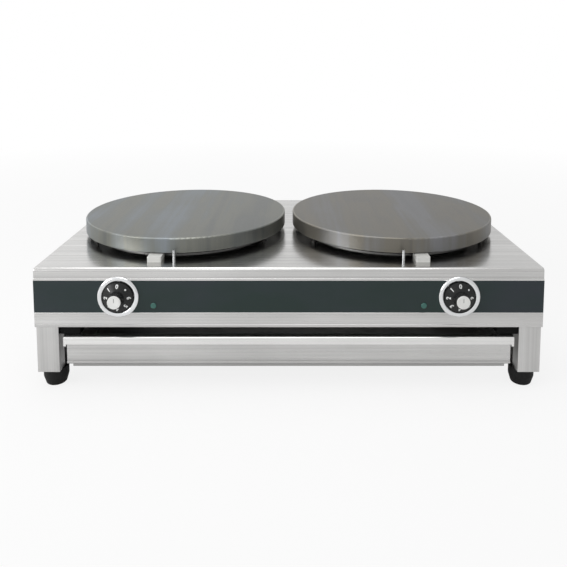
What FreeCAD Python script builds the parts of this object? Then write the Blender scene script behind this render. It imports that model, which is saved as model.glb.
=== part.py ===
import FreeCAD, Part
import math
import os
import re
import Sketcher
from FreeCAD import Placement, Rotation, Vector

# Electric crepe maker with two round griddle plates on one stainless body, with a drawer below.
# Row frame: X to the right, the front faces -Y, Z up, the feet stand on Z = 0. Millimetres.

SIZES = {
    # casing
    "body_width": 856,
    "body_depth": 494,
    "body_height": 102,
    "sheet": 1.2,
    "front_bend": 6,
    "edge_bend": 2.5,
    "upper_band": 21.5,
    "panel_height": 55,
    "panel_thickness": 1.5,
    "flange_height": 14,
    "flange_end_gap": 20,
    "panel_overlap": 10,
    # vents and rear panel
    "rear_margin": 16,
    "vent_length": 44,
    "vent_width": 4,
    "vent_pitch": 12,
    "vent_offset": 250,
    # legs and feet
    "leg_height": 80,
    "leg_width": 37,
    "leg_depth": 50,
    "leg_lip": 24,
    "leg_inset": 2,
    "leg_sheet": 1.5,
    "leg_bolt_radius": 3,
    "leg_bolt_length": 12,
    "leg_bolt_back": 12,
    "foot_height": 30,
    "foot_top_radius": 21,
    "foot_base_radius": 16.5,
    "foot_taper_height": 15,
    "foot_inset": 28,
    "foot_shift": 3,
    "foot_stud_radius": 4,
    "foot_stud_base": 7,
    "foot_stud_rise": 15,
    # griddle plates
    "plate_diameter": 400,
    "plate_spacing": 416,
    "plate_gap": 10.5,
    "plate_rim_height": 26.5,
    "plate_thickness": 12,
    "plate_rim_wall": 7,
    "plate_edge_round": 2.5,
    "stop_pin_radius": 2.5,
    "stop_pin_height": 20,
    "stop_pin_inset": 10,
    "stop_pin_setback": 35,
    "stop_pin_below": 8,
    "post_circle_radius": 184,
    "post_radius": 3,
    "post_boss_radius": 7,
    "post_boss_height": 9,
    "post_washer": 1.2,
    "post_below": 12,
    # heating elements, clamps and insulated pans
    "element_radius": 4,
    "element_ring": 140,
    "element_inner_ring": 90,
    "element_gap_angle": 50,
    "element_bend": 12,
    "element_tail": 72,
    "tail_clearance": 1.5,
    "clamp_radius": 156,
    "clamp_sheet": 2,
    "clamp_boss_ring": 115,
    "clamp_boss_radius": 8,
    "clamp_screw_radius": 2.5,
    "pan_radius": 164,
    "pan_flange": 12,
    "pan_depth": 42,
    "wool_thickness": 30,
    # thermostats, sensors and ceramic guides
    "thermostat_width": 46,
    "thermostat_depth": 32,
    "thermostat_height": 38,
    "thermostat_round": 2,
    "terminal_spacing": 24,
    "bush_radius": 5,
    "bush_length": 8,
    "shaft_clearance": 0.05,
    "guide_offset": 23.5,
    "guide_setback": 30,
    "guide_width": 24,
    "guide_depth": 32,
    "guide_height": 9,
    "guide_round": 1.5,
    "guide_bore": 1.6,
    "guide_bore_inset": 4,
    "tube_radius": 1.1,
    "tube_rise": 13,
    "tube_run_in": 12,
    "bulb_radius": 2.6,
    "bulb_length": 26,
    # knobs
    "knob_inset": 142,
    "knob_reach": 27,
    "ring_radius": 35,
    "ring_width": 9,
    "ring_height": 4.5,
    "dial_gap": 0.4,
    "dial_rim": 3,
    "dial_height": 9,
    "dial_floor_gap": 0.5,
    "grip_radius": 12.5,
    "cap_radius": 11,
    "cap_height": 2,
    "cap_round": 0.8,
    "shaft_socket": 15,
    "shaft_radius": 3,
    "shaft_inside": 24,
    # indicator lamps
    "lamp_offset": 59,
    "lamp_drop": 15.5,
    "lens_radius": 5,
    "lens_height": 2,
    "lamp_body_radius": 4,
    "lamp_body_length": 24,
    "lamp_collar": 2,
    # drawer
    "drawer_drop": 15,
    "drawer_height": 57,
    "drawer_depth": 440,
    "drawer_setback": 6,
    "drawer_clearance": 4,
    "face_clearance": 12,
    "lip_clearance": 10.5,
    "drawer_flange": 11,
    "flange_setback": 6,
    "lip_reach": 12,
    "lip_drop": 13,
    "face_raise": 5,
    "rail_length": 440,
    "rail_setback": 32,
    "rail_ledge": 17,
    "rail_gap": 0.4,
    # terminal block and cable gland
    "block_length": 62,
    "block_depth": 24,
    "block_height": 20,
    "block_setback": 70,
    "block_slot": 2,
    "gland_reach": 16,
    "gland_radius": 13,
    "gland_bore": 5.5,
    "gland_thread_radius": 9,
    "gland_nut": 6,
    "gland_lock": 4,
    "gland_inside": 14,
    "gland_height": 40,
    "gland_inset": 98,
    "lead_radius": 1.6,
    "lead_level": 6,
    "lead_run": 60,
    # fasteners and fits
    "screw_radius": 2,
    "screw_head_radius": 4,
    "screw_head": 2.2,
    "screw_length": 8,
    "hole_clearance": 0.2,
    "running_gap": 0.3,
}

DERIVED = {
    "body_base": "foot_height + leg_height",
    "deck_top": "body_base + body_height",
    "deck_under": "deck_top - sheet",
    "half_width": "body_width / 2",
    "front": "-body_depth / 2 + (knob_reach - gland_reach) / 2",
    "rear": "front + body_depth",
    "plate_y": "front + body_depth / 2",
    "plate_base": "deck_top + plate_gap",
    "plate_radius": "plate_diameter / 2",
    "plate_under": "plate_base + plate_rim_height - plate_thickness",
    "element_z": "plate_under - element_radius - running_gap",
    "clamp_top": "plate_under - 2 * element_radius - 2 * running_gap",
    "clamp_under": "clamp_top - clamp_sheet",
    "pan_floor": "deck_top - pan_depth",
    "panel_top": "deck_top - upper_band",
    "panel_base": "panel_top - panel_height",
    "panel_back": "front + panel_thickness",
    "knob_x": "half_width - knob_inset",
    "knob_z": "panel_base + panel_height / 2",
    "lamp_x": "knob_x - lamp_offset",
    "lamp_z": "knob_z - lamp_drop",
    "grip_top": "knob_reach - dial_floor_gap - cap_height",
    "thermostat_y": "panel_back + sheet + bush_length",
    "thermostat_back": "thermostat_y + thermostat_depth",
    "guide_x": "plate_spacing / 2 + guide_offset",
    "guide_y": "front + guide_setback",
    "bore_y": "guide_y + guide_depth - guide_bore_inset",
    "bulb_z": "plate_under - bulb_radius - running_gap",
    "stop_pin_x": "plate_spacing / 2 - stop_pin_inset",
    "stop_pin_y": "front + stop_pin_setback",
    "leg_outer": "half_width - leg_inset",
    "leg_inner": "leg_outer - leg_width",
    "foot_x": "leg_inner + leg_width / 2 - foot_shift",
    "foot_front": "front + foot_inset",
    "foot_rear": "rear - foot_inset",
    "drawer_top": "body_base - drawer_drop",
    "drawer_base": "drawer_top - drawer_height",
    "drawer_front": "front + drawer_setback",
    "rail_web": "leg_inner - running_gap",
    "drawer_half": "rail_web - rail_ledge - drawer_clearance",
    "face_half": "leg_inner - face_clearance",
    "lip_half": "leg_inner - lip_clearance",
    "rail_top": "drawer_top - sheet - rail_gap",
    "gland_x": "half_width - gland_inset",
    "gland_z": "body_base + gland_height",
    "block_y": "rear - block_setback",
    "block_base": "body_base + sheet",
}

SIDES = {"left": -1, "right": 1}
OVERRUN = 1
NUT_SPREAD = 1.9
NUT_HEIGHT = 1.65
HEAD_HEIGHT = 1.35
FRONT_ANGLE = 270
CORNERS = {"front_left": (-1, -1), "front_right": (1, -1), "rear_left": (-1, 1), "rear_right": (1, 1)}

doc = FreeCAD.newDocument("CrepeMaker")
sheet = doc.addObject("Spreadsheet::Sheet", "Sizes")
nodes = []


def fill_sheet():
    """Write each driving size, as plain text, beside its name."""
    for row, (name, size) in enumerate(SIZES.items(), start=1):
        sheet.set(f"A{row}", name)
        sheet.set(f"B{row}", str(size))
        sheet.setAlias(f"B{row}", name)
    doc.recompute()


def expand(text):
    """Turn the names of sizes into references to the sheet's cells."""
    def reference(match):
        word = match.group(0)
        if word in DERIVED:
            return "(" + expand(DERIVED[word]) + ")"
        if word in SIZES:
            return "Sizes." + word
        return word
    return re.sub(r"[a-z][a-z0-9_]*", reference, str(text))


def number(text):
    """The value of an expression of named sizes."""
    return float(sheet.evalExpression(expand(text)))


def bind(item, bindings):
    """Bind properties of an object to expressions of named sizes."""
    for name, text in bindings.items():
        item.setExpression(name, expand(text))


def keep(item, node):
    """Give an object its node's name and list it for export."""
    item.Label = node
    nodes.append(item)
    return item


def box(name, x, y, z):
    """A block between two corners, each axis given as a pair of expressions."""
    piece = doc.addObject("Part::Box", name)
    bind(piece, {
        "Length": f"({x[1]}) - ({x[0]})",
        "Width": f"({y[1]}) - ({y[0]})",
        "Height": f"({z[1]}) - ({z[0]})",
        "Placement.Base.x": x[0],
        "Placement.Base.y": y[0],
        "Placement.Base.z": z[0],
    })
    return piece


def side_span(side, near, far):
    """The X range between two distances from the middle, on one side."""
    if side > 0:
        return (near, far)
    return (f"-({far})", f"-({near})")


def end_span(end, from_edge, to_edge):
    """The Y range between two distances in from the front (-1) or the rear (1)."""
    if end < 0:
        return (f"front + {from_edge}", f"front + {to_edge}")
    return (f"rear - ({to_edge})", f"rear - ({from_edge})")


TURNS = {
    "Z": Rotation(),
    "X": Rotation(Vector(0, 1, 0), 90),
    "Y": Rotation(Vector(1, 0, 0), -90),
    "-Y": Rotation(Vector(1, 0, 0), 90),
}


def place(piece, x, y, z, axis="Z"):
    """Turn an object's Z to an axis and bind where it stands."""
    piece.Placement = Placement(Vector(), TURNS[axis])
    bind(piece, {"Placement.Base.x": x, "Placement.Base.y": y, "Placement.Base.z": z})
    return piece


def cylinder(name, x, y, z, radius, length, axis="Z"):
    """A round bar that starts at a point and runs along an axis."""
    piece = doc.addObject("Part::Cylinder", name)
    bind(piece, {"Radius": radius, "Height": length})
    return place(piece, x, y, z, axis)


def hexagon(name, x, y, z, radius, length, axis="Z"):
    """A six-sided bar, such as a nut or a bolt's head, by its corner radius."""
    piece = doc.addObject("Part::Prism", name)
    piece.Polygon = 6
    bind(piece, {"Circumradius": radius, "Height": length})
    return place(piece, x, y, z, axis)


def drill(name, x, y, z, radius, length, axis="Z"):
    """The tool for a round hole through a sheet, running past both of its faces."""
    start = {"Z": (x, y, f"{z} - {OVERRUN}"), "Y": (x, f"{y} - {OVERRUN}", z)}[axis]
    return cylinder(name, *start, radius, f"{length} + {2 * OVERRUN}", axis)


def nut(name, x, y, z, bolt, height=NUT_HEIGHT, axis="Z"):
    """A nut or a bolt's head, in proportion to the bolt's radius."""
    return hexagon(name, x, y, z, f"{NUT_SPREAD} * {bolt}", f"{height} * {bolt}", axis)


def fuse(name, pieces):
    joined = doc.addObject("Part::MultiFuse", name)
    joined.Shapes = pieces
    joined.Refine = True
    return joined


def cut(name, base, tools):
    result = doc.addObject("Part::Cut", name)
    result.Base = base
    result.Tool = tools[0] if len(tools) == 1 else fuse(name + "_tool", tools)
    return result


def group(name, pieces):
    """Separate solids that share one node."""
    gathered = doc.addObject("Part::Compound", name)
    gathered.Links = pieces
    return gathered


def rounded(name, base, radius, picks):
    """Round the edges whose middle passes a test."""
    doc.recompute()
    size = number(radius)
    edges = enumerate(base.Shape.Edges, start=1)
    item = doc.addObject("Part::Fillet", name)
    item.Base = base
    item.Edges = [(index, size, size) for index, edge in edges if picks(edge)]
    return item


def around(count, radius, first):
    """Centres, as expressions, evenly spaced on a circle from a first angle in degrees."""
    angles = [f"({first} + {360 * step / count})" for step in range(count)]
    return [(f"{radius} * cos({angle})", f"{radius} * sin({angle})") for angle in angles]


def new_body(node):
    return keep(doc.addObject("PartDesign::Body", node), node)


def new_sketch(body, name, role="XZ_Plane", offset=None):
    """A sketch on one of the body's own origin planes."""
    plane = [item for item in body.Origin.OriginFeatures if item.Role == role][0]
    drawing = body.newObject("Sketcher::SketchObject", name)
    drawing.AttachmentSupport = (plane, [""])
    drawing.MapMode = "FlatFace"
    if offset:
        bind(drawing, {"AttachmentOffset.Base.z": offset})
    return drawing


def pin_point(drawing, index, end, axis, text, name):
    """Tie one coordinate of a point to an expression, measured from the sketch's origin."""
    if text == "0":
        line = -2 if axis == "X" else -1
        drawing.addConstraint(Sketcher.Constraint("PointOnObject", index, end, line))
        return
    kind = "Distance" + axis
    row = drawing.addConstraint(Sketcher.Constraint(kind, -1, 1, index, end, number(text)))
    drawing.renameConstraint(row, name)
    bind(drawing, {"Constraints." + name: text})


def outline(drawing, points):
    """A closed outline of straight lines, with every corner tied to named sizes."""
    flat = [Vector(number(x), number(y), 0) for x, y in points]
    first = drawing.GeometryCount
    count = len(points)
    for step in range(count):
        drawing.addGeometry(Part.LineSegment(flat[step], flat[(step + 1) % count]), False)
    for step in range(count):
        after = first + (step + 1) % count
        drawing.addConstraint(Sketcher.Constraint("Coincident", first + step, 2, after, 1))
    for step, (x, y) in enumerate(points):
        pin_point(drawing, first + step, 1, "X", x, f"across{first + step}")
        pin_point(drawing, first + step, 1, "Y", y, f"along{first + step}")


def ring_in(drawing, x, y, radius):
    """A circle with its centre and radius tied to named sizes."""
    index = drawing.addGeometry(
        Part.Circle(Vector(number(x), number(y), 0), Vector(0, 0, 1), number(radius)), False)
    pin_point(drawing, index, 3, "X", x, f"centre_x{index}")
    pin_point(drawing, index, 3, "Y", y, f"centre_y{index}")
    row = drawing.addConstraint(Sketcher.Constraint("Radius", index, number(radius)))
    drawing.renameConstraint(row, f"radius{index}")
    bind(drawing, {f"Constraints.radius{index}": radius})


def revolve(body, drawing, name):
    turned = body.newObject("PartDesign::Revolution", name)
    turned.Profile = drawing
    turned.ReferenceAxis = (drawing, ["V_Axis"])
    turned.Angle = 360
    doc.recompute()
    return turned


def pad(body, drawing, name, length):
    added = body.newObject("PartDesign::Pad", name)
    added.Profile = drawing
    bind(added, {"Length": length})
    doc.recompute()
    return added


def pocket(body, drawing, name, length, reverse=False):
    """Cut a sketch into the body, and refuse a cut that removes nothing."""
    before = body.Shape.Volume
    removed = body.newObject("PartDesign::Pocket", name)
    removed.Profile = drawing
    removed.Reversed = reverse
    bind(removed, {"Length": length})
    doc.recompute()
    if body.Shape.Volume > before - 1e-3:
        raise RuntimeError(name + " cuts nothing")
    return removed


def fillet(body, name, radius, picks):
    """Round the body's edges that pass a test."""
    tip = body.Tip
    names = [f"Edge{i}" for i, edge in enumerate(tip.Shape.Edges, start=1) if picks(edge)]
    soft = body.newObject("PartDesign::Fillet", name)
    soft.Base = (tip, names)
    bind(soft, {"Radius": radius})
    doc.recompute()
    return soft


def is_ring(edge, radius, z):
    """Whether an edge is a full circle of a radius at a height."""
    circle = edge.Curve
    same = hasattr(circle, "Radius") and abs(circle.Radius - number(radius)) < 1e-3
    return same and abs(edge.BoundBox.ZMin - number(z)) < 1e-3 and abs(edge.BoundBox.ZLength) < 1e-3


def tube(node, points, radius, share=0.45):
    """A round tube along straight runs joined by tangent arcs."""
    route = [Vector(*(number(part) for part in point)) for point in points]
    edges = []
    start = route[0]
    for before, corner, after in zip(route, route[1:], route[2:]):
        inward = (corner - before).normalize()
        outward = (after - corner).normalize()
        reach = share * min((corner - before).Length, (after - corner).Length)
        entry = corner - inward * reach
        leave = corner + outward * reach
        bisector = (outward - inward).normalize()
        half_turn = inward.getAngle(outward) / 2
        bend = reach / math.tan(half_turn)
        middle_gap = (bend ** 2 + reach ** 2) ** 0.5 - bend
        edges.append(Part.LineSegment(start, entry).toShape())
        edges.append(Part.Arc(entry, corner + bisector * middle_gap, leave).toShape())
        start = leave
    edges.append(Part.LineSegment(start, route[-1]).toShape())
    path = Part.Wire(edges)
    size = number(radius)
    section = Part.Wire([Part.Circle(route[0], route[1] - route[0], size).toShape()])
    solid = path.makePipeShell([section], True, False)
    item = doc.addObject("Part::Feature", node)
    item.Shape = solid
    return item


def top_cover():
    """The deck, sides and front lip, folded from one stainless sheet."""
    body = new_body("top_cover")
    place(body, "0", "plate_y", "body_base + sheet")
    blank = new_sketch(body, "CoverBlank", "XY_Plane")
    outline(blank, [
        ("-half_width", "-body_depth / 2"), ("half_width", "-body_depth / 2"),
        ("half_width", "body_depth / 2"), ("-half_width", "body_depth / 2")])
    pad(body, blank, "CoverBlock", "body_height - sheet")
    top = number("body_height - sheet")
    front_edge = -number("body_depth / 2")
    fillet(body, "FrontBend", "front_bend",
           lambda edge: edge.BoundBox.ZMin > top - 1e-3 and edge.BoundBox.YMax < front_edge + 1e-3)
    fillet(body, "SideBends", "edge_bend",
           lambda edge: edge.BoundBox.ZMin > top - 1e-3 and edge.BoundBox.XLength < 1e-3)
    shell = body.newObject("PartDesign::Thickness", "CoverShell")
    tip = body.Group[-2]
    under = [f"Face{i}" for i, face in enumerate(tip.Shape.Faces, start=1)
             if face.BoundBox.ZMax < 1e-3]
    shell.Base = (tip, under)
    shell.Reversed = True
    bind(shell, {"Value": "sheet"})
    doc.recompute()
    opening = new_sketch(body, "FrontOpening", offset="body_depth / 2 - panel_thickness")
    low = "panel_top - body_base - sheet"
    wide = f"half_width + {OVERRUN}"
    below = f"-{OVERRUN}"
    outline(opening, [(f"-({wide})", below), (wide, below), (wide, low), (f"-({wide})", low)])
    pocket(body, opening, "FrontCut", f"panel_thickness + {OVERRUN}", reverse=True)
    back = new_sketch(body, "RearOpening")
    inner = "half_width - rear_margin"
    high = "body_height - rear_margin - sheet"
    outline(back, [(f"-({inner})", below), (inner, below), (inner, high), (f"-({inner})", high)])
    pocket(body, back, "RearCut", "body_depth")
    holes = new_sketch(body, "DeckHoles", "XY_Plane")
    for side in SIDES.values():
        middle = f"{side} * plate_spacing / 2"
        ring_in(holes, middle, "0", "pan_radius + running_gap")
        ring_in(holes, f"{side} * guide_x", "bore_y - plate_y", "guide_bore")
        ring_in(holes, f"{side} * stop_pin_x", "stop_pin_y - plate_y", "stop_pin_radius + hole_clearance")
        for x, y in post_centres():
            ring_in(holes, f"{middle} + {x}", y, "post_radius + hole_clearance")
    pocket(body, holes, "DeckHoleCut", "2 * body_height", reverse=True)
    screws = new_sketch(body, "RearScrewHoles")
    for x, z in rear_screw_places():
        ring_in(screws, x, f"{z} - body_base - sheet", "screw_radius")
    pocket(body, screws, "RearScrewCut", "body_depth")


def post_centres():
    """Where a plate's three posts stand, from the plate's middle. One is at the rear."""
    return around(3, "post_circle_radius", 90)


def rear_screw_places():
    """Screws along the rear panel's two ends."""
    places = []
    for side in SIDES.values():
        for height in ("rear_margin + screw_head_radius", "body_height - rear_margin"):
            places.append((f"{side} * (half_width - rear_margin / 2)", f"body_base + {height}"))
    return places


def front_panel():
    """The inner front sheet that carries the controls."""
    y = ("panel_back", "panel_back + sheet")
    side = "half_width - sheet - running_gap"
    plate = box("FrontPanelSheet", (f"-({side})", side), y, ("body_base + sheet", "panel_top + panel_overlap"))
    holes = []
    for sign in SIDES.values():
        holes.append(drill("ShaftHole", f"{sign} * knob_x", "panel_back", "knob_z",
                           "bush_radius + hole_clearance", "sheet", "Y"))
        holes.append(drill("LampHole", f"{sign} * lamp_x", "panel_back", "lamp_z",
                           "lamp_body_radius + hole_clearance", "sheet", "Y"))
    keep(cut("FrontPanelCut", plate, holes), "front_panel")


def control_panel():
    """The black glossy strip over the front sheet, between the two bright bands."""
    strip = box("PanelStrip", ("-half_width", "half_width"), ("front", "panel_back"),
                ("panel_base", "panel_top"))
    holes = []
    for sign in SIDES.values():
        holes.append(drill("DialHole", f"{sign} * knob_x", "front", "knob_z",
                           "bush_radius + hole_clearance", "panel_thickness", "Y"))
        holes.append(drill("LensHole", f"{sign} * lamp_x", "front", "lamp_z",
                           "lamp_body_radius + hole_clearance", "panel_thickness", "Y"))
    keep(cut("PanelCut", strip, holes), "control_panel")


def rear_panel():
    """The rear sheet with its rows of vents and the hole for the mains cable's gland."""
    side = "half_width - sheet - running_gap"
    y = ("rear - 2 * sheet", "rear - sheet")
    plate = box("RearSheet", (f"-({side})", side), y,
                ("body_base + sheet", "deck_under - running_gap"))
    holes = []
    for sign in SIDES.values():
        for column in (-1, 0, 1):
            for row in (-1, 0, 1):
                x = f"{sign} * vent_offset / 2 + {column} * (vent_length + vent_pitch)"
                z = f"body_base + body_height / 2 + {row} * vent_pitch"
                holes.append(box("RearVent", (f"{x} - vent_length / 2", f"{x} + vent_length / 2"),
                                 ("rear - 3 * sheet", "rear"),
                                 (f"{z} - vent_width / 2", f"{z} + vent_width / 2")))
    holes.append(cylinder("GlandHole", "gland_x", "rear - 3 * sheet", "gland_z",
                          "gland_thread_radius + hole_clearance", "3 * sheet", "Y"))
    for x, z in rear_screw_places():
        holes.append(cylinder("RearPanelHole", x, "rear - 3 * sheet", z, "screw_radius", "3 * sheet", "Y"))
    keep(cut("RearPanelCut", plate, holes), "rear_panel")


def base_pan():
    """The floor of the casing, whose front edge folds up as the lower bright band."""
    floor = box("BaseFloor", ("-half_width", "half_width"), ("front", "rear"),
                ("body_base", "body_base + sheet"))
    lip = box("LowerBand", ("-half_width", "half_width"), ("front", "front + sheet"),
              ("body_base", "panel_base"))
    pieces = [floor, lip]
    for sign in SIDES.values():
        pieces.append(box("SideFlange", side_span(sign, "half_width - 2 * sheet", "half_width - sheet"),
                          ("front + flange_end_gap", "rear - flange_end_gap"),
                          ("body_base", "body_base + flange_height")))
    holes = []
    for sign in SIDES.values():
        for row in range(-3, 4):
            y = f"plate_y + {row} * 3 * vent_pitch"
            x = side_span(sign, "vent_offset - 2 * vent_length", "vent_offset")
            holes.append(box("FloorVent", x, (f"{y} - vent_width", f"{y} + vent_width"),
                             ("body_base - sheet", "body_base + 2 * sheet")))
    for sign, end in CORNERS.values():
        for x, y in leg_bolt_places(sign, end):
            holes.append(drill("LegBoltHole", x, y, "body_base", "leg_bolt_radius + hole_clearance", "sheet"))
    keep(cut("BasePanCut", fuse("BaseFolded", pieces), holes), "base_pan")


def leg_bolt_places(sign, end):
    """Two bolts through each leg's top plate."""
    x = f"{sign} * (leg_inner + leg_width / 2)"
    depth = ("leg_depth / 3", "leg_depth - leg_bolt_back")
    if end < 0:
        return [(x, f"front + leg_inset + {step}") for step in depth]
    return [(x, f"rear - leg_inset - {step}") for step in depth]


def leg(name, sign, end):
    """A folded leg: two faces and an outer side, a short inner lip and two end plates."""
    bottom = "foot_height"
    top = "body_base"
    near = "leg_inset"
    tall = (bottom, top)
    wide = side_span(sign, "leg_inner", "leg_outer")
    face = box("LegFace", wide, end_span(end, near, f"{near} + leg_sheet"), tall)
    lip = box("LegLip", side_span(sign, "leg_inner", "leg_inner + leg_sheet"),
              end_span(end, near, f"{near} + leg_lip"), tall)
    outer = box("LegSide", side_span(sign, "leg_outer - leg_sheet", "leg_outer"),
                end_span(end, near, f"{near} + leg_depth"), tall)
    deep = end_span(end, near, f"{near} + leg_depth")
    far = f"{near} + leg_depth"
    back = box("LegBack", wide, end_span(end, f"{far} - leg_sheet", far), tall)
    floor = box("LegFloor", wide, deep, (bottom, f"{bottom} + leg_sheet"))
    roof = box("LegRoof", wide, deep, (f"{top} - leg_sheet", top))
    holes = [drill("StudHole", f"{sign} * foot_x", foot_y(end), bottom,
                   "foot_stud_radius + hole_clearance", "leg_sheet")]
    for x, y in leg_bolt_places(sign, end):
        holes.append(drill("BoltHole", x, y, f"{top} - leg_sheet",
                           "leg_bolt_radius + hole_clearance", "leg_sheet"))
    folded = fuse("LegFolded", [face, lip, outer, back, floor, roof])
    keep(cut("LegCut", folded, holes), "leg_" + name)


def foot_y(end):
    return "foot_front" if end < 0 else "foot_rear"


def foot(name, sign, end):
    """A tapered rubber foot, moulded round the head of its stud."""
    body = new_body("foot_" + name)
    place(body, f"{sign} * foot_x", foot_y(end), "0")
    side = new_sketch(body, "FootSide")
    bore = "foot_stud_radius + hole_clearance"
    outline(side, [
        (bore, "foot_stud_base"), (bore, "foot_height"), ("foot_top_radius", "foot_height"),
        ("foot_top_radius", "foot_taper_height"), ("foot_base_radius", "0"), ("0", "0"),
        ("0", "foot_stud_base")])
    revolve(body, side, "FootRound")
    fillet(body, "FootSole", "foot_base_radius / 4", lambda edge: is_ring(edge, "foot_base_radius", "0"))
    fillet(body, "FootShoulder", "foot_base_radius / 2",
           lambda edge: is_ring(edge, "foot_top_radius", "foot_taper_height"))


def foot_studs():
    """Threaded studs from the feet into the legs, each with its nut."""
    pieces = []
    for sign, end in CORNERS.values():
        x = f"{sign} * foot_x"
        stud = cylinder("Stud", x, foot_y(end), "foot_stud_base + running_gap", "foot_stud_radius",
                        "foot_height - foot_stud_base + foot_stud_rise")
        lock = nut("StudNut", x, foot_y(end), "foot_height + leg_sheet", "foot_stud_radius")
        pieces.append(fuse("StudAndNut", [stud, lock]))
    keep(group("StudGroup", pieces), "foot_studs")


def leg_bolts():
    """Bolts that hold the legs' top plates to the base pan."""
    pieces = []
    for sign, end in CORNERS.values():
        for x, y in leg_bolt_places(sign, end):
            under = f"body_base - leg_sheet - {HEAD_HEIGHT} * leg_bolt_radius"
            head = nut("BoltHead", x, y, under, "leg_bolt_radius", HEAD_HEIGHT)
            shank = cylinder("BoltShank", x, y, under, "leg_bolt_radius", "leg_bolt_length")
            lock = nut("BoltNut", x, y, "body_base + sheet", "leg_bolt_radius")
            pieces.append(fuse("LegBolt", [shank, head, lock]))
    keep(group("LegBoltGroup", pieces), "leg_bolts")


def griddle_plate(name, side):
    """A cast plate with a skirt, three post bosses and three clamp bosses under it."""
    body = new_body("griddle_plate_" + name)
    place(body, f"{side} * plate_spacing / 2", "plate_y", "plate_base")
    under = "plate_rim_height - plate_thickness"
    section = new_sketch(body, "PlateSection")
    outline(section, [
        ("0", under), ("plate_radius - plate_rim_wall", under), ("plate_radius - plate_rim_wall", "0"),
        ("plate_radius", "0"), ("plate_radius", "plate_rim_height"), ("0", "plate_rim_height")])
    revolve(body, section, "PlateRound")
    fillet(body, "PlateEdge", "plate_edge_round",
           lambda edge: is_ring(edge, "plate_radius", "plate_rim_height"))
    fillet(body, "SkirtEdge", "plate_edge_round / 2", lambda edge: is_ring(edge, "plate_radius", "0"))
    posts = new_sketch(body, "PostBosses", "XY_Plane", under + " - post_boss_height")
    for x, y in post_centres():
        ring_in(posts, x, y, "post_boss_radius")
    pad(body, posts, "PostBossPad", f"post_boss_height + {OVERRUN}")
    clamps = new_sketch(body, "ClampBosses", "XY_Plane", "clamp_top - plate_base")
    for x, y in around(3, "clamp_boss_ring", 90):
        ring_in(clamps, x, y, "clamp_boss_radius")
    pad(body, clamps, "ClampBossPad", f"plate_under - clamp_top + {OVERRUN}")
    sockets = new_sketch(body, "PostSockets", "XY_Plane", f"{under} - post_boss_height - {OVERRUN}")
    for x, y in post_centres():
        ring_in(sockets, x, y, "post_radius + hole_clearance")
    pocket(body, sockets, "PostSocketCut", f"post_boss_height + {OVERRUN} + hole_clearance", reverse=True)
    threads = new_sketch(body, "ClampThreads", "XY_Plane", f"clamp_top - plate_base - {OVERRUN}")
    for x, y in around(3, "clamp_boss_ring", 90):
        ring_in(threads, x, y, "clamp_screw_radius + hole_clearance")
    pocket(body, threads, "ClampThreadCut", f"plate_under - clamp_top + {OVERRUN} + clamp_sheet",
           reverse=True)


def plate_posts(name, side):
    """Three posts that carry a plate on the deck, each with a washer and a nut below."""
    pieces = []
    for x, y in post_centres():
        x = f"{side} * plate_spacing / 2 + {x}"
        y = f"plate_y + {y}"
        rod = cylinder("PostRod", x, y, "deck_under - post_below", "post_radius",
                       "plate_under - deck_under + post_below")
        washer = cylinder("PostWasher", x, y, "deck_top", "2 * post_radius", "post_washer")
        lock = nut("PostNut", x, y, f"deck_under - {NUT_HEIGHT} * post_radius", "post_radius")
        pieces.append(fuse("Post", [rod, washer, lock]))
    keep(group("PostGroup", pieces), "plate_posts_" + name)


def stop_pin(name, side):
    """A short bright pin in front of a plate, fixed through the deck with a nut below."""
    x = f"{side} * stop_pin_x"
    pin = cylinder("PinRod", x, "stop_pin_y", "deck_under - stop_pin_below", "stop_pin_radius",
                   "stop_pin_height + sheet + stop_pin_below")
    lock = nut("PinNut", x, "stop_pin_y", f"deck_under - {NUT_HEIGHT} * stop_pin_radius", "stop_pin_radius")
    keep(fuse("StopPin", [pin, lock]), "stop_pin_" + name)


def element_points(side):
    """The named points of an element's route, and a function that gives a point on a ring."""
    centre = Vector(number(f"{side} * plate_spacing / 2"), number("plate_y"), number("element_z"))

    def at(radius, angle):
        turn = math.radians(angle)
        return centre + Vector(side * radius * math.cos(turn), radius * math.sin(turn), 0)

    half = number("element_gap_angle") / 2
    return at, FRONT_ANGLE + half, FRONT_ANGLE + 360 - half


def tail_places(side):
    """Where the two tails of an element run down, as plain coordinates."""
    at, first, _last = element_points(side)
    turn = math.radians(first)
    along = Vector(-side * math.sin(turn), math.cos(turn), 0)
    bend = number("element_bend")
    return [at(number(ring), first) - along * bend for ring in ("element_ring", "element_inner_ring")]


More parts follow.
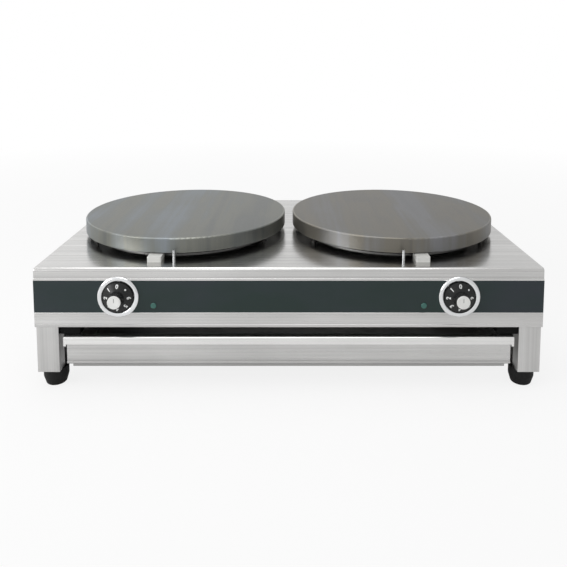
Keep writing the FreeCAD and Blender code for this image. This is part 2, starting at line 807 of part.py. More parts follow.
def heating_element(name, side):
    """A tubular element: two rings joined by a half turn, with both tails turned down."""
    at, first, last = element_points(side)
    outer, inner = number("element_ring"), number("element_inner_ring")
    middle = (first + last) / 2
    bend = number("element_bend")
    drop = Vector(0, 0, number("element_tail"))
    down = Vector(0, 0, bend)
    slant = math.sqrt(0.5)
    edges = []

    def quarter(tail, ring_point):
        """Three points of the bend between a vertical tail and the end of a ring."""
        along = (ring_point - tail).normalize()
        crown = ring_point - down - along * bend * slant + Vector(0, 0, bend * slant)
        return tail - down, crown, ring_point

    outer_tail, inner_tail = tail_places(side)
    edges.append(Part.LineSegment(outer_tail - drop, outer_tail - down))
    edges.append(Part.Arc(*quarter(outer_tail, at(outer, first))))
    for start, end in ((first, middle), (middle, last)):
        edges.append(Part.Arc(at(outer, start), at(outer, (start + end) / 2), at(outer, end)))
    hub = at((outer + inner) / 2, last)
    turn = math.radians(last)
    along = Vector(-side * math.sin(turn), math.cos(turn), 0)
    edges.append(Part.Arc(at(outer, last), hub + along * (outer - inner) / 2, at(inner, last)))
    for start, end in ((last, middle), (middle, first)):
        edges.append(Part.Arc(at(inner, start), at(inner, (start + end) / 2), at(inner, end)))
    edges.append(Part.Arc(*reversed(quarter(inner_tail, at(inner, first)))))
    edges.append(Part.LineSegment(inner_tail - down, inner_tail - drop))
    path = Part.Wire([edge.toShape() for edge in edges])
    section = Part.Wire([Part.Circle(outer_tail - drop, Vector(0, 0, 1), number("element_radius")).toShape()])
    item = doc.addObject("Part::Feature", "HeatingElement")
    item.Shape = path.makePipeShell([section], True, False)
    keep(item, "heating_element_" + name)


def tail_holes(side, bottom, top, radius="element_radius + tail_clearance"):
    """Round holes in whatever an element's tails pass through."""
    holes = []
    for tail in tail_places(side):
        hole = doc.addObject("Part::Cylinder", "TailHole")
        bind(hole, {"Radius": radius, "Height": f"{top} - ({bottom})"})
        hole.Placement = Placement(Vector(tail.x, tail.y, 0), Rotation())
        bind(hole, {"Placement.Base.z": bottom})
        holes.append(hole)
    return holes


def clamp_places(side):
    """Where the clamp screws stand."""
    return [(f"{side} * plate_spacing / 2 + {x}", f"plate_y + {y}")
            for x, y in around(3, "clamp_boss_ring", 90)]


def element_clamp(name, side):
    """A flat disc that presses an element against its plate."""
    x = f"{side} * plate_spacing / 2"
    disc = cylinder("ClampDisc", x, "plate_y", "clamp_under", "clamp_radius", "clamp_sheet")
    holes = [drill("ClampMiddle", x, "plate_y", "clamp_under", "element_inner_ring / 2", "clamp_sheet")]
    holes += tail_holes(side, f"clamp_under - {OVERRUN}", f"clamp_top + {OVERRUN}",
                        "element_bend - tail_clearance")
    for screw_x, screw_y in clamp_places(side):
        holes.append(drill("ClampHole", screw_x, screw_y, "clamp_under",
                           "clamp_screw_radius + hole_clearance", "clamp_sheet"))
    keep(cut("ElementClamp", disc, holes), "element_clamp_" + name)


def clamp_screws():
    """Screws through the clamps into the plates' bosses."""
    pieces = []
    for side in SIDES.values():
        for x, y in clamp_places(side):
            under = f"clamp_under - {HEAD_HEIGHT} * clamp_screw_radius"
            shank = cylinder("ClampShank", x, y, under, "clamp_screw_radius", f"plate_under - ({under})")
            head = nut("ClampHead", x, y, under, "clamp_screw_radius", HEAD_HEIGHT)
            pieces.append(fuse("ClampScrew", [shank, head]))
    keep(group("ClampScrewGroup", pieces), "clamp_screws")


def reflector_pan(name, side):
    """A shallow steel pan that hangs in the deck's round hole under a plate."""
    body = new_body("reflector_pan_" + name)
    place(body, f"{side} * plate_spacing / 2", "plate_y", "pan_floor")
    section = new_sketch(body, "PanSection")
    wall = "pan_radius - sheet"
    rim = "pan_depth + running_gap"
    outline(section, [
        ("0", "0"), ("pan_radius", "0"), ("pan_radius", rim), ("pan_radius + pan_flange", rim),
        ("pan_radius + pan_flange", rim + " + sheet"), (wall, rim + " + sheet"), (wall, "sheet"),
        ("0", "sheet")])
    revolve(body, section, "PanRound")
    holes = new_sketch(body, "PanTailHoles", "XY_Plane")
    middle = Vector(number(f"{side} * plate_spacing / 2"), number("plate_y"), 0)
    for tail in tail_places(side):
        spot = tail - middle
        holes.addGeometry(Part.Circle(Vector(spot.x, spot.y, 0), Vector(0, 0, 1),
                                      number("element_radius + tail_clearance")), False)
    pocket(body, holes, "PanTailCut", "2 * sheet", reverse=True)


def wool_pad(name, side):
    """A round pad of mineral wool in the pan."""
    x = f"{side} * plate_spacing / 2"
    base = "pan_floor + sheet + running_gap"
    disc = cylinder("WoolDisc", x, "plate_y", base, "pan_radius - sheet - running_gap", "wool_thickness")
    holes = tail_holes(side, f"{base} - {OVERRUN}", f"{base} + wool_thickness + {OVERRUN}")
    keep(cut("WoolPad", disc, holes), "wool_pad_" + name)


def ceramic_guide(name, side):
    """A white ceramic block on the deck that guides the sensor's tube up under the plate."""
    middle = f"{side} * guide_x"
    block = box("GuideBlock", (f"{middle} - guide_width / 2", f"{middle} + guide_width / 2"),
                ("guide_y", "guide_y + guide_depth"), ("deck_top", "deck_top + guide_height"))
    soft = rounded("GuideSoft", block, "guide_round", lambda edge: edge.BoundBox.ZLength > 1)
    bore = drill("GuideBore", middle, "bore_y", "deck_top", "guide_bore", "guide_height")
    keep(cut("Guide", soft, [bore]), "ceramic_guide_" + name)


def thermostat(name, side):
    """The control's body behind the front sheet, with a threaded bush through it."""
    middle = f"{side} * knob_x"
    case = box("ThermostatCase", (f"{middle} - thermostat_width / 2", f"{middle} + thermostat_width / 2"),
               ("thermostat_y", "thermostat_back"),
               ("knob_z - thermostat_height / 2", "knob_z + thermostat_height / 2"))
    soft = rounded("ThermostatSoft", case, "thermostat_round", lambda edge: edge.BoundBox.YLength > 1)
    bush = cylinder("ThermostatBush", middle, "front", "knob_z", "bush_radius",
                    f"thermostat_y - front + {OVERRUN}", "Y")
    lock = nut("ThermostatNut", middle, "panel_back + sheet", "knob_z", "bush_radius", 0.5, "Y")
    bore = cylinder("ThermostatBore", middle, f"front - {OVERRUN}", "knob_z",
                    "shaft_radius + shaft_clearance", f"shaft_inside + {2 * OVERRUN}", "Y")
    keep(cut("ThermostatCut", fuse("ThermostatBody", [soft, bush, lock]), [bore]), "thermostat_" + name)


def sensor(name, side):
    """The thermostat's sensor: a thin tube up through the ceramic guide to a bulb under the plate."""
    start = "knob_z + thermostat_height / 2"
    level = f"{start} + tube_rise"
    y = "thermostat_y + thermostat_depth / 2"
    bulb_y = "bore_y + tube_run_in"
    x = f"{side} * guide_x"
    route = [
        (f"{side} * knob_x", y, start), (f"{side} * knob_x", y, level), (x, "bore_y", level),
        (x, "bore_y", "bulb_z"), (x, bulb_y, "bulb_z")]
    line = tube("SensorTube", route, "tube_radius")
    bulb = cylinder("SensorBulb", x, bulb_y, "bulb_z", "bulb_radius", "bulb_length", "Y")
    keep(fuse("Sensor", [line, bulb]), "sensor_" + name)


def bezel_ring(name, side):
    """The chromed ring round a dial."""
    body = new_body("bezel_ring_" + name)
    place(body, f"{side} * knob_x", "front", "knob_z", "-Y")
    section = new_sketch(body, "RingSection")
    inner = "ring_radius - ring_width"
    outline(section, [(inner, "0"), ("ring_radius", "0"), ("ring_radius", "ring_height"),
                      (inner, "ring_height")])
    revolve(body, section, "RingRound")
    fillet(body, "RingEdges", "ring_height * 0.42",
           lambda edge: is_ring(edge, "ring_radius", "ring_height") or is_ring(edge, inner, "ring_height"))


def dial(name, side):
    """The black knob: a numbered conical skirt and a round grip, moulded in one."""
    body = new_body("dial_" + name)
    place(body, f"{side} * knob_x", "front - dial_floor_gap", "knob_z", "-Y")
    section = new_sketch(body, "DialSection")
    edge_radius = "ring_radius - ring_width - dial_gap"
    hub = "shaft_radius + hole_clearance"
    outline(section, [
        (hub, "0"), (edge_radius, "0"), (edge_radius, "dial_rim"), ("grip_radius", "dial_height"),
        ("grip_radius", "grip_top"), ("0", "grip_top"), ("0", "shaft_socket"), (hub, "shaft_socket")])
    revolve(body, section, "DialRound")
    fillet(body, "GripEdge", "cap_round", lambda edge: is_ring(edge, "grip_radius", "grip_top"))


def knob_cap(name, side):
    """The pale disc set on the end of a knob's grip."""
    body = new_body("knob_cap_" + name)
    place(body, f"{side} * knob_x", "front - dial_floor_gap - grip_top", "knob_z", "-Y")
    section = new_sketch(body, "CapSection")
    outline(section, [("0", "0"), ("cap_radius", "0"), ("cap_radius", "cap_height"), ("0", "cap_height")])
    revolve(body, section, "CapRound")
    fillet(body, "CapEdge", "cap_round", lambda edge: is_ring(edge, "cap_radius", "cap_height"))


def knob_shaft(name, side):
    """The spindle that turns with the knob inside the thermostat's bush."""
    reach = "dial_floor_gap + shaft_socket - running_gap"
    rod = cylinder("ShaftRod", f"{side} * knob_x", f"front - ({reach})", "knob_z", "shaft_radius",
                   f"{reach} + shaft_inside", "Y")
    keep(rod, "knob_shaft_" + name)


def indicator_lamp(name, side):
    """A green lens on the panel with its lamp body behind."""
    lens = new_body("lamp_lens_" + name)
    place(lens, f"{side} * lamp_x", "front", "lamp_z", "-Y")
    section = new_sketch(lens, "LensSection")
    outline(section, [("0", "0"), ("lens_radius", "0"), ("lens_radius", "lens_height"), ("0", "lens_height")])
    revolve(lens, section, "LensRound")
    fillet(lens, "LensDome", "lens_height * 0.8", lambda edge: is_ring(edge, "lens_radius", "lens_height"))
    tube_body = cylinder("LampTube", f"{side} * lamp_x", "front", "lamp_z", "lamp_body_radius",
                         "lamp_body_length", "Y")
    collar = cylinder("LampCollar", f"{side} * lamp_x", "panel_back + sheet", "lamp_z",
                      "lamp_body_radius + lamp_collar", "lamp_collar", "Y")
    keep(fuse("LampBody", [tube_body, collar]), "lamp_body_" + name)


def drawer_rail(name, side):
    """A folded rail under the base pan whose ledge carries the drawer's flange."""
    along = ("front + rail_setback", "front + rail_setback + rail_length")
    inner = "rail_web - rail_ledge"
    top = box("RailTop", side_span(side, inner, "rail_web"), along, ("body_base - sheet", "body_base"))
    wall = box("RailWall", side_span(side, "rail_web - sheet", "rail_web"), along, ("rail_top - sheet", "body_base"))
    ledge = box("RailLedge", side_span(side, inner, "rail_web"), along, ("rail_top - sheet", "rail_top"))
    end = ("front + rail_setback + rail_length - sheet", "front + rail_setback + rail_length")
    stop = box("RailStop", side_span(side, inner, "rail_web"), end, ("rail_top - sheet", "body_base"))
    keep(fuse("Rail", [top, wall, ledge, stop]), "drawer_rail_" + name)


def drawer_tray():
    """The drawer's pan, with an outward flange along each side."""
    y = ("drawer_front + sheet", "drawer_front + drawer_depth")
    outer = box("TrayOuter", ("-drawer_half", "drawer_half"), y, ("drawer_base", "drawer_top"))
    inner = box("TrayInner", ("-drawer_half + sheet", "drawer_half - sheet"),
                (f"{y[0]} + sheet", f"{y[1]} - sheet"), ("drawer_base + sheet", "drawer_top + sheet"))
    pan = cut("TrayPan", outer, [inner])
    pieces = [pan]
    for side in SIDES.values():
        pieces.append(box("TrayFlange", side_span(side, "drawer_half - sheet", "drawer_half + drawer_flange"),
                          ("front + rail_setback + flange_setback", f"{y[1]} - sheet"),
                          ("drawer_top - sheet", "drawer_top")))
    keep(fuse("Tray", pieces), "drawer_tray")


def drawer_front():
    """The drawer's face with its folded lip, which is the handle."""
    face = box("FaceSheet", ("-face_half", "face_half"),
               ("drawer_front", "drawer_front + sheet"), ("drawer_base + face_raise", "drawer_top"))
    wide = ("-lip_half", "lip_half")
    shelf = box("LipShelf", wide, ("drawer_front - lip_reach", "drawer_front + sheet"),
                ("drawer_top - sheet", "drawer_top"))
    fold = box("LipFold", wide, ("drawer_front - lip_reach", "drawer_front - lip_reach + sheet"),
               ("drawer_top - lip_drop", "drawer_top"))
    folded = fuse("FaceFolded", [face, shelf, fold])
    edge_y = number("drawer_front - lip_reach")
    top = number("drawer_top")
    soft = rounded("FaceSoft", folded, "sheet * 0.8",
                   lambda edge: edge.BoundBox.XLength > 10 and abs(edge.BoundBox.YMax - edge_y) < 1e-3
                   and abs(edge.BoundBox.ZMin - top) < 1e-3)
    keep(soft, "drawer_front")


def terminal_block():
    """A ceramic block that joins the mains cable to the inner leads."""
    ends = ("gland_x - block_length / 2", "gland_x + block_length / 2")
    body = box("BlockBody", ends, ("block_y", "block_y + block_depth"),
               ("block_base", "block_base + block_height"))
    slots = []
    for step in (-1, 1):
        middle = f"gland_x + {step} * block_length / 6"
        slots.append(box("BlockSlot", (f"{middle} - block_slot / 2", f"{middle} + block_slot / 2"),
                         (f"block_y - {OVERRUN}", f"block_y + block_depth + {OVERRUN}"),
                         ("block_base + block_height / 2", f"block_base + block_height + {OVERRUN}")))
    keep(cut("Block", body, slots), "terminal_block")


def cord_gland():
    """The cable gland in the rear panel: nut outside, threaded stem through, lock nut inside."""
    x, z = "gland_x", "gland_z"
    stem = cylinder("GlandStem", x, "rear - gland_inside", z, "gland_thread_radius",
                    "gland_inside + gland_reach - gland_nut", "Y")
    nut_piece = hexagon("GlandNut", x, "rear - sheet", z, "gland_radius", "gland_nut + sheet", "Y")
    dome = cylinder("GlandDome", x, "rear + gland_nut", z, "(gland_radius + gland_thread_radius) / 2",
                    "gland_reach - gland_nut", "Y")
    lock = hexagon("GlandLock", x, "rear - 2 * sheet - gland_lock", z, "gland_radius", "gland_lock", "Y")
    bore = drill("GlandBore", x, "rear - gland_inside", z, "gland_bore", "gland_inside + gland_reach", "Y")
    keep(cut("Gland", fuse("GlandBody", [stem, nut_piece, dome, lock]), [bore]), "cord_gland")


def leads(name, side):
    """Insulated leads from the terminal block to one thermostat and one element."""
    low = "block_base + lead_level"
    high = f"{low} + 6 * lead_radius"
    block_z = "block_base + block_height / 3"
    outer_tail, inner_tail = tail_places(side)
    tail_z = "element_z - element_tail"
    start_x = f"gland_x + {side} * block_length / 3"
    inner_x = f"gland_x + {side} * block_length / 12"
    outer_x = f"{side} * (knob_x + terminal_spacing / 2)"
    near_x = f"{side} * (knob_x - terminal_spacing / 2)"
    routes = [
        [(start_x, "block_y", block_z), (start_x, "block_y - lead_run", low),
         (outer_x, "thermostat_back + lead_run", low), (outer_x, "thermostat_back + lead_run / 2", "knob_z"),
         (outer_x, "thermostat_back", "knob_z")],
        [(near_x, "thermostat_back", "knob_z"), (near_x, "thermostat_back + lead_run / 3", "knob_z"),
         (outer_tail.x, outer_tail.y, "knob_z - lead_run / 2"), (outer_tail.x, outer_tail.y, tail_z)],
        [(inner_x, "block_y", block_z), (inner_x, "block_y - lead_run * 2 / 3", high),
         (inner_tail.x, inner_tail.y, high), (inner_tail.x, inner_tail.y, tail_z)],
    ]
    keep(group("LeadGroup", [tube("Lead", route, "lead_radius") for route in routes]), "leads_" + name)


def mains_leads():
    """Three short leads from the gland to the terminal block."""
    pieces = []
    for step in (-1, 0, 1):
        core_x = f"gland_x + {step} * 2.1 * lead_radius"
        block_x = f"gland_x + {step} * block_length / 3"
        back = "block_y + block_depth"
        low = "block_base + block_height / 3"
        route = [(core_x, "rear - gland_inside - sheet / 2", "gland_z"),
                 (core_x, "rear - lead_run / 2", "gland_z"), (block_x, f"{back} + lead_run / 6", low),
                 (block_x, back, low)]
        pieces.append(tube("MainsLead", route, "lead_radius"))
    keep(group("MainsLeadGroup", pieces), "mains_leads")


def cover_screws():
    """Screws that hold the rear panel to the cover, seen from behind."""
    pieces = []
    for x, z in rear_screw_places():
        shank = cylinder("ScrewShank", x, "rear - screw_length", z, "screw_radius - hole_clearance",
                         "screw_length + screw_head", "Y")
        head = cylinder("ScrewHead", x, "rear", z, "screw_head_radius", "screw_head", "Y")
        pieces.append(fuse("CoverScrew", [shank, head]))
    keep(group("CoverScrewGroup", pieces), "cover_screws")


def write_parts():
    """Check every object and write each node to its own file."""
    doc.recompute()
    for item in doc.Objects:
        if "Invalid" in item.State or "Error" in item.State:
            raise RuntimeError(item.Name + " failed: " + ", ".join(item.State))
    for item in nodes:
        if item.Shape.isNull() or not item.Shape.isValid():
            raise RuntimeError(item.Label + " has no valid shape")
        item.Shape.exportStep(os.path.join("parts", item.Label + ".step"))
        print(item.Label, len(item.Shape.Solids), round(item.Shape.Volume))


os.makedirs("parts", exist_ok=True)
fill_sheet()
top_cover()
front_panel()
control_panel()
rear_panel()
base_pan()
for corner, (sign, end) in CORNERS.items():
    leg(corner, sign, end)
    foot(corner, sign, end)
foot_studs()
leg_bolts()
for name, side in SIDES.items():
    griddle_plate(name, side)
    plate_posts(name, side)
    stop_pin(name, side)
    heating_element(name, side)
    element_clamp(name, side)
    reflector_pan(name, side)
    wool_pad(name, side)
    ceramic_guide(name, side)
    thermostat(name, side)
    sensor(name, side)
    bezel_ring(name, side)
    dial(name, side)
    knob_cap(name, side)
    knob_shaft(name, side)
    indicator_lamp(name, side)
    drawer_rail(name, side)
    leads(name, side)
clamp_screws()
drawer_tray()
drawer_front()
terminal_block()
cord_gland()
mains_leads()
cover_screws()
write_parts()
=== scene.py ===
# %% [markdown]
# # A twin-plate electric crepe maker
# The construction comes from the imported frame: every solid is already there at its real size, and rides
# on the casing, on one of the two knobs or on the drawer. This notebook adds what the eye needs: the
# finish of each surface, the rings, caps, ribs and numbers of the knobs, the rolled edges of the sheets,
# the drawer's folded front, the crosses in the rear screws, the room, the lamps and the camera.

# %% Load the frame
import math

import bmesh
import bpy
from mathutils import Matrix, Vector


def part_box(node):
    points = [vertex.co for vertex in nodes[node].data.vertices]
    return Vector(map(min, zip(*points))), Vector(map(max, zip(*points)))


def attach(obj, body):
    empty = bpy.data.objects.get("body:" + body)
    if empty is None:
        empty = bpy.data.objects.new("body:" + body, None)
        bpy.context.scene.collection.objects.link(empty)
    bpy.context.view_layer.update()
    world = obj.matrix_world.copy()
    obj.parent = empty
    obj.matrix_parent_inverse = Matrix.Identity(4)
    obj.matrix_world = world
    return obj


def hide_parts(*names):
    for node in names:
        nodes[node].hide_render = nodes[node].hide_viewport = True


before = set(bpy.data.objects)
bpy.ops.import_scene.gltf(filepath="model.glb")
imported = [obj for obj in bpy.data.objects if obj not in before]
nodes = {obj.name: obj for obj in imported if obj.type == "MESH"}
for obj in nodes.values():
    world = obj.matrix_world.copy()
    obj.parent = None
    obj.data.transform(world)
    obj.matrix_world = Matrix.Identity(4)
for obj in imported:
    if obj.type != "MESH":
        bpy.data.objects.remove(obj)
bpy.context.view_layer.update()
print("pieces in the frame:", len(nodes))

# %% [markdown]
# ## Measures that the later cells share
# Dressing could be placed by eye, but it would stay behind when the construction changes its size. So the
# front face, the knobs and the drawer's lip are read from the boxes of the frame's own pieces, and the
# dressing moves with them. All lengths are in metres, and +X, -Y and +Z point right, forwards and up.

# %% Read the main levels
SIDES = {"left": -1, "right": 1}


def piece_box(name):
    """The box of a piece in the frame, as two vectors."""
    low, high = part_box(name)
    return Vector(low), Vector(high)


panel_low, panel_high = piece_box("control_panel")
lip_low, lip_high = piece_box("drawer_front")
FRONT = panel_low.y
HALF_WIDTH = piece_box("top_cover")[1].x
BASE_EDGE = piece_box("base_pan")[0].z
KNOBS = {}
for side in SIDES:
    ring_low, ring_high = piece_box("bezel_ring_" + side)
    KNOBS[side] = (ring_low + ring_high) / 2
print("front face at", round(FRONT, 4), "half width", round(HALF_WIDTH, 4))
print("base edge at", round(BASE_EDGE, 4))
print("knobs at", {side: tuple(round(value, 4) for value in place) for side, place in KNOBS.items()})

# %% [markdown]
# ## The camera
# The photograph was taken from straight in front and a little above, and its upright edges stay upright,
# as with a shifted lens. A camera that only tilts would let them lean. Most of the view down is a lens
# shift here, and the rest is a small tilt, so that the views from the sides stay inside the picture too.
# The distance, the height and the lens come from a fit to edges of known size.

# %% Place the camera
FRAME_PIXELS = 567
FOCAL_PIXELS = 610.5
SHIFT_UP_PIXELS = 167
SHIFT_SIDE_PIXELS = 5.2
CAMERA_DISTANCE = 0.9906
CAMERA_HEIGHT = 0.5599
CAMERA_TILT = math.radians(5.39)
SENSOR_MM = 36
FAR_CLIP = 60
camera_data = bpy.data.cameras.new("Camera")
camera_data.sensor_width = SENSOR_MM
camera_data.lens = FOCAL_PIXELS / FRAME_PIXELS * SENSOR_MM
camera_data.shift_y = -SHIFT_UP_PIXELS / FRAME_PIXELS
camera_data.shift_x = -SHIFT_SIDE_PIXELS / FRAME_PIXELS
camera_data.clip_end = FAR_CLIP
camera = bpy.data.objects.new("Camera", camera_data)
bpy.context.scene.collection.objects.link(camera)
camera.location = (0, FRONT - CAMERA_DISTANCE, CAMERA_HEIGHT)
camera.rotation_euler = (math.pi / 2 - CAMERA_TILT, 0, 0)
bpy.context.scene.camera = camera
print("camera", tuple(round(value, 3) for value in camera.location), "lens", round(camera_data.lens, 2))

# %% [markdown]
# ## A small kit for node materials
# Every finish is a Principled surface whose colour, gloss and bump come from patterns on Object
# coordinates. Pictures could be laid on instead, but they would need unwrapping and would blur close up.
# The helpers keep the recipes short: one adds a node with its settings and links, one makes a material
# with its shader ready, and the others are the few patterns that keep coming back.

# %% Material helpers
def add_node(tree, kind, inputs=None, **settings):
    """Add a node, set its properties, and fill its inputs with values or links."""
    node = tree.nodes.new(kind)
    for name, value in settings.items():
        setattr(node, name, value)
    for name, value in (inputs or {}).items():
        socket = node.inputs[name]
        if isinstance(value, bpy.types.NodeSocket):
            tree.links.new(value, socket)
        else:
            socket.default_value = value
    return node


def new_material(name, **surface):
    """A material with a Principled surface; its sockets are set by name."""
    material = bpy.data.materials.new(name)
    material.use_nodes = True
    tree = material.node_tree
    shader = tree.nodes["Principled BSDF"]
    for socket, value in surface.items():
        shader.inputs[socket.replace("_", " ")].default_value = value
    return material, tree, shader


def stretched(tree, scale, location=(0, 0, 0)):
    """Object coordinates stretched per axis, for grain that runs one way."""
    place = add_node(tree, "ShaderNodeTexCoord").outputs["Object"]
    return add_node(tree, "ShaderNodeMapping", {
        "Vector": place, "Location": location, "Scale": scale}).outputs["Vector"]


def noise(tree, vector, scale=1.0, detail=3.0, roughness=0.55):
    """The factor of a noise pattern."""
    pattern = add_node(tree, "ShaderNodeTexNoise", {
        "Vector": vector, "Scale": scale, "Detail": detail, "Roughness": roughness})
    return pattern.outputs["Fac"]


def maths(tree, operation, first, second=0.0):
    """One step of arithmetic on values or links."""
    return add_node(tree, "ShaderNodeMath", {0: first, 1: second}, operation=operation).outputs[0]


def weighted(tree, *parts):
    """The sum of (pattern, share) pairs."""
    total = None
    for pattern, share in parts:
        part = maths(tree, "MULTIPLY", pattern, share)
        total = part if total is None else maths(tree, "ADD", total, part)
    return total


def tinted(tree, first, second):
    """Two colours multiplied channel by channel."""
    node = add_node(tree, "ShaderNodeVectorMath", {0: first, 1: second}, operation="MULTIPLY")
    return node.outputs["Vector"]


def ramp(tree, factor, stops):
    """A colour ramp through (position, grey or colour) stops."""
    node = add_node(tree, "ShaderNodeValToRGB", {"Fac": factor})
    elements = node.color_ramp.elements
    elements.remove(elements[1])
    for index, (position, colour) in enumerate(stops):
        element = elements[0] if index == 0 else elements.new(position)
        element.position = position
        rgb = (colour,) * 3 if isinstance(colour, (int, float)) else colour
        element.color = (*rgb, 1)
    return node.outputs["Color"]


def spread(tree, factor, low, high, start=0.0, end=1.0):
    """Stretch a range of a factor to another range."""
    node = add_node(tree, "ShaderNodeMapRange", {
        "Value": factor, "From Min": start, "From Max": end, "To Min": low, "To Max": high})
    return node.outputs["Result"]


def bump(tree, shader, height, strength, distance):
    """Let a pattern's height tilt the surface."""
    node = add_node(tree, "ShaderNodeBump", {
        "Height": height, "Strength": strength, "Distance": distance})
    tree.links.new(node.outputs["Normal"], shader.inputs["Normal"])


def paint(material, *names):
    """Give pieces of the frame a material."""
    for name in names:
        mesh = nodes[name].data
        mesh.materials.clear()
        mesh.materials.append(material)


print("material helpers are ready")

# %% [markdown]
# ## Brushed stainless sheet
# The casing is 1.2 mm stainless with a brushed grain. A metal's look is mostly what it mirrors, so the
# grain has three jobs: long fine streaks in the gloss, a faint bump across them, and slight changes of
# tone at hand size, as on a sheet that has been wiped. The grain's axis is a choice per piece. A grain
# along X also goes round the corner with the fold: on a face that looks sideways it runs along Y.
# A sheet's tone may also change with height, and this is painted shade: darker under the drawer's lip,
# where the lip shades the face, and along its bottom hem.

# %% Brushed steel
GRAIN = {"X": (1.4, 230, 230), "Y": (230, 1.4, 230), "Z": (230, 230, 1.4)}
STREAK_WIDTH = 4
WIPE_MARKS = (4, 4, 9)
SIDE_FACING = 0.7
STEEL_TINT = (1.0, 0.993, 0.98)
DULL_SHARE = 0.78
BRIGHT_SHARE = 1.16
BRIGHTEST = 0.97
GLOSS_SWING = 0.08


def round_the_corner(tree, scale):
    """Stretched coordinates whose X and Y change places on faces that look sideways."""
    place = add_node(tree, "ShaderNodeTexCoord").outputs["Object"]
    parts = add_node(tree, "ShaderNodeSeparateXYZ", {"Vector": place}).outputs
    turned_place = add_node(tree, "ShaderNodeCombineXYZ", {
        "X": parts["Y"], "Y": parts["X"], "Z": parts["Z"]})
    normal = add_node(tree, "ShaderNodeNewGeometry").outputs["True Normal"]
    facing = add_node(tree, "ShaderNodeSeparateXYZ", {"Vector": normal}).outputs["X"]
    sideways = maths(tree, "GREATER_THAN", maths(tree, "ABSOLUTE", facing), SIDE_FACING)
    chosen = add_node(tree, "ShaderNodeMix", {
        0: sideways, 4: place, 5: turned_place.outputs["Vector"]}, data_type="VECTOR")
    return add_node(tree, "ShaderNodeMapping", {
        "Vector": chosen.outputs[1], "Scale": scale}).outputs["Vector"]


def brushed_steel(name, along="X", tone=0.62, gloss=0.3, levels=None):
    """Steel with its grain along an axis; levels are (height, share of the tone) pairs that paint shade.
    """
    material, tree, shader = new_material(name, Metallic=1.0, Anisotropic=0.4)
    follow = round_the_corner if along == "X" else stretched
    broad = tuple(value / STREAK_WIDTH for value in GRAIN[along])
    grain = noise(tree, follow(tree, GRAIN[along]), scale=3.0, detail=4.0, roughness=0.65)
    streak = noise(tree, follow(tree, broad), scale=2.0)
    cloud = noise(tree, stretched(tree, WIPE_MARKS))
    low = tuple(tone * DULL_SHARE * value for value in STEEL_TINT)
    high = tuple(min(BRIGHTEST, tone * BRIGHT_SHARE) * value for value in STEEL_TINT)
    colour = ramp(tree, weighted(tree, (cloud, 0.4), (streak, 0.6), (grain, 0.35)),
                  [(0.48, low), (0.88, high)])
    if levels:
        bottom, top = levels[0][0], levels[-1][0]
        place = add_node(tree, "ShaderNodeTexCoord").outputs["Object"]
        height = add_node(tree, "ShaderNodeSeparateXYZ", {"Vector": place}).outputs["Z"]
        stops = [((level - bottom) / (top - bottom), share) for level, share in levels]
        colour = tinted(tree, colour, ramp(tree, spread(tree, height, 0.0, 1.0, bottom, top), stops))
    tree.links.new(colour, shader.inputs["Base Color"])
    tree.links.new(spread(tree, grain, gloss - GLOSS_SWING, gloss + GLOSS_SWING, 0.25, 0.75),
                   shader.inputs["Roughness"])
    bump(tree, shader, grain, strength=0.1, distance=0.0003)
    return material


# %% [markdown]
# ## Which sheet is brushed which way
# The cover and the front bands are brushed from side to side, the legs from top to bottom, and the rails
# and heat pans from front to back. The edge that hands pull on is polished, and its brighter tone is
# partly a painted highlight; the cover's hem is a little brighter too, as a painted highlight. What lies
# under the deck is never polished and sees little light; its darker tone is painted shade, the rails
# darkest. Each could be a material of its own, but one recipe with a few values makes them all, because
# they are the same metal. The drawer's face is the only one with levels: heights above its bottom edge,
# and one level below its top, which paint shade on it.

# %% Finish every sheet
# Painted shade on the drawer's face: darker along its bottom hem and just under the lip, where the lip
# shades it; the tone changes with height in between.
FACE_SHADE_TONES = [(0.0, 0.74), (0.012, 0.92), (0.026, 0.86), (0.037, 1.0)]
UNDER_LIP_SHADE_DROP = 0.012
UNDER_LIP_SHADE_TONE = 0.66
face_shade_levels = [(lip_low.z + height, share) for height, share in FACE_SHADE_TONES]
face_shade_levels.append((lip_high.z - UNDER_LIP_SHADE_DROP, UNDER_LIP_SHADE_TONE))
steel_cover = brushed_steel("SteelCover", tone=0.66, gloss=0.2)
steel_lower = brushed_steel("SteelLower", tone=0.66, gloss=0.3)
steel_drawer = brushed_steel("SteelDrawerFace", tone=0.7, gloss=0.3, levels=face_shade_levels)
# The lip's brighter tone is partly polish from hands and partly a painted highlight on its rounded top.
steel_polish_and_highlight = brushed_steel("SteelPolishAndHighlight", tone=0.95, gloss=0.22)
# The cover hem's brighter tone is a painted highlight along the rolled hem.
steel_hem_highlight = brushed_steel("SteelHemHighlight", tone=0.74, gloss=0.24)
steel_leg = brushed_steel("SteelLeg", along="Z", tone=0.62, gloss=0.36)
steel_rear = brushed_steel("SteelRear", tone=0.6, gloss=0.36)
# Tray, rails and heat pans get darker tones as painted shade, the rails darkest, so that the drawer's
# mouth stays dark.
steel_tray_shade = brushed_steel("SteelTrayShade", tone=0.4, gloss=0.42)
steel_rail_shade = brushed_steel("SteelRailShade", along="Y", tone=0.16, gloss=0.5)
steel_pan_shade = brushed_steel("SteelPanShade", along="Y", tone=0.3, gloss=0.4)
paint(steel_cover, "top_cover")
paint(steel_lower, "base_pan")
paint(steel_drawer, "drawer_front")
paint(steel_rear, "rear_panel", "front_panel")
paint(steel_tray_shade, "drawer_tray")
for side in SIDES:
    paint(steel_leg, "leg_front_" + side, "leg_rear_" + side)
    paint(steel_rail_shade, "drawer_rail_" + side)
    paint(steel_pan_shade, "reflector_pan_" + side)
print("steel finishes:", [item.name for item in bpy.data.materials if item.name.startswith("Steel")])

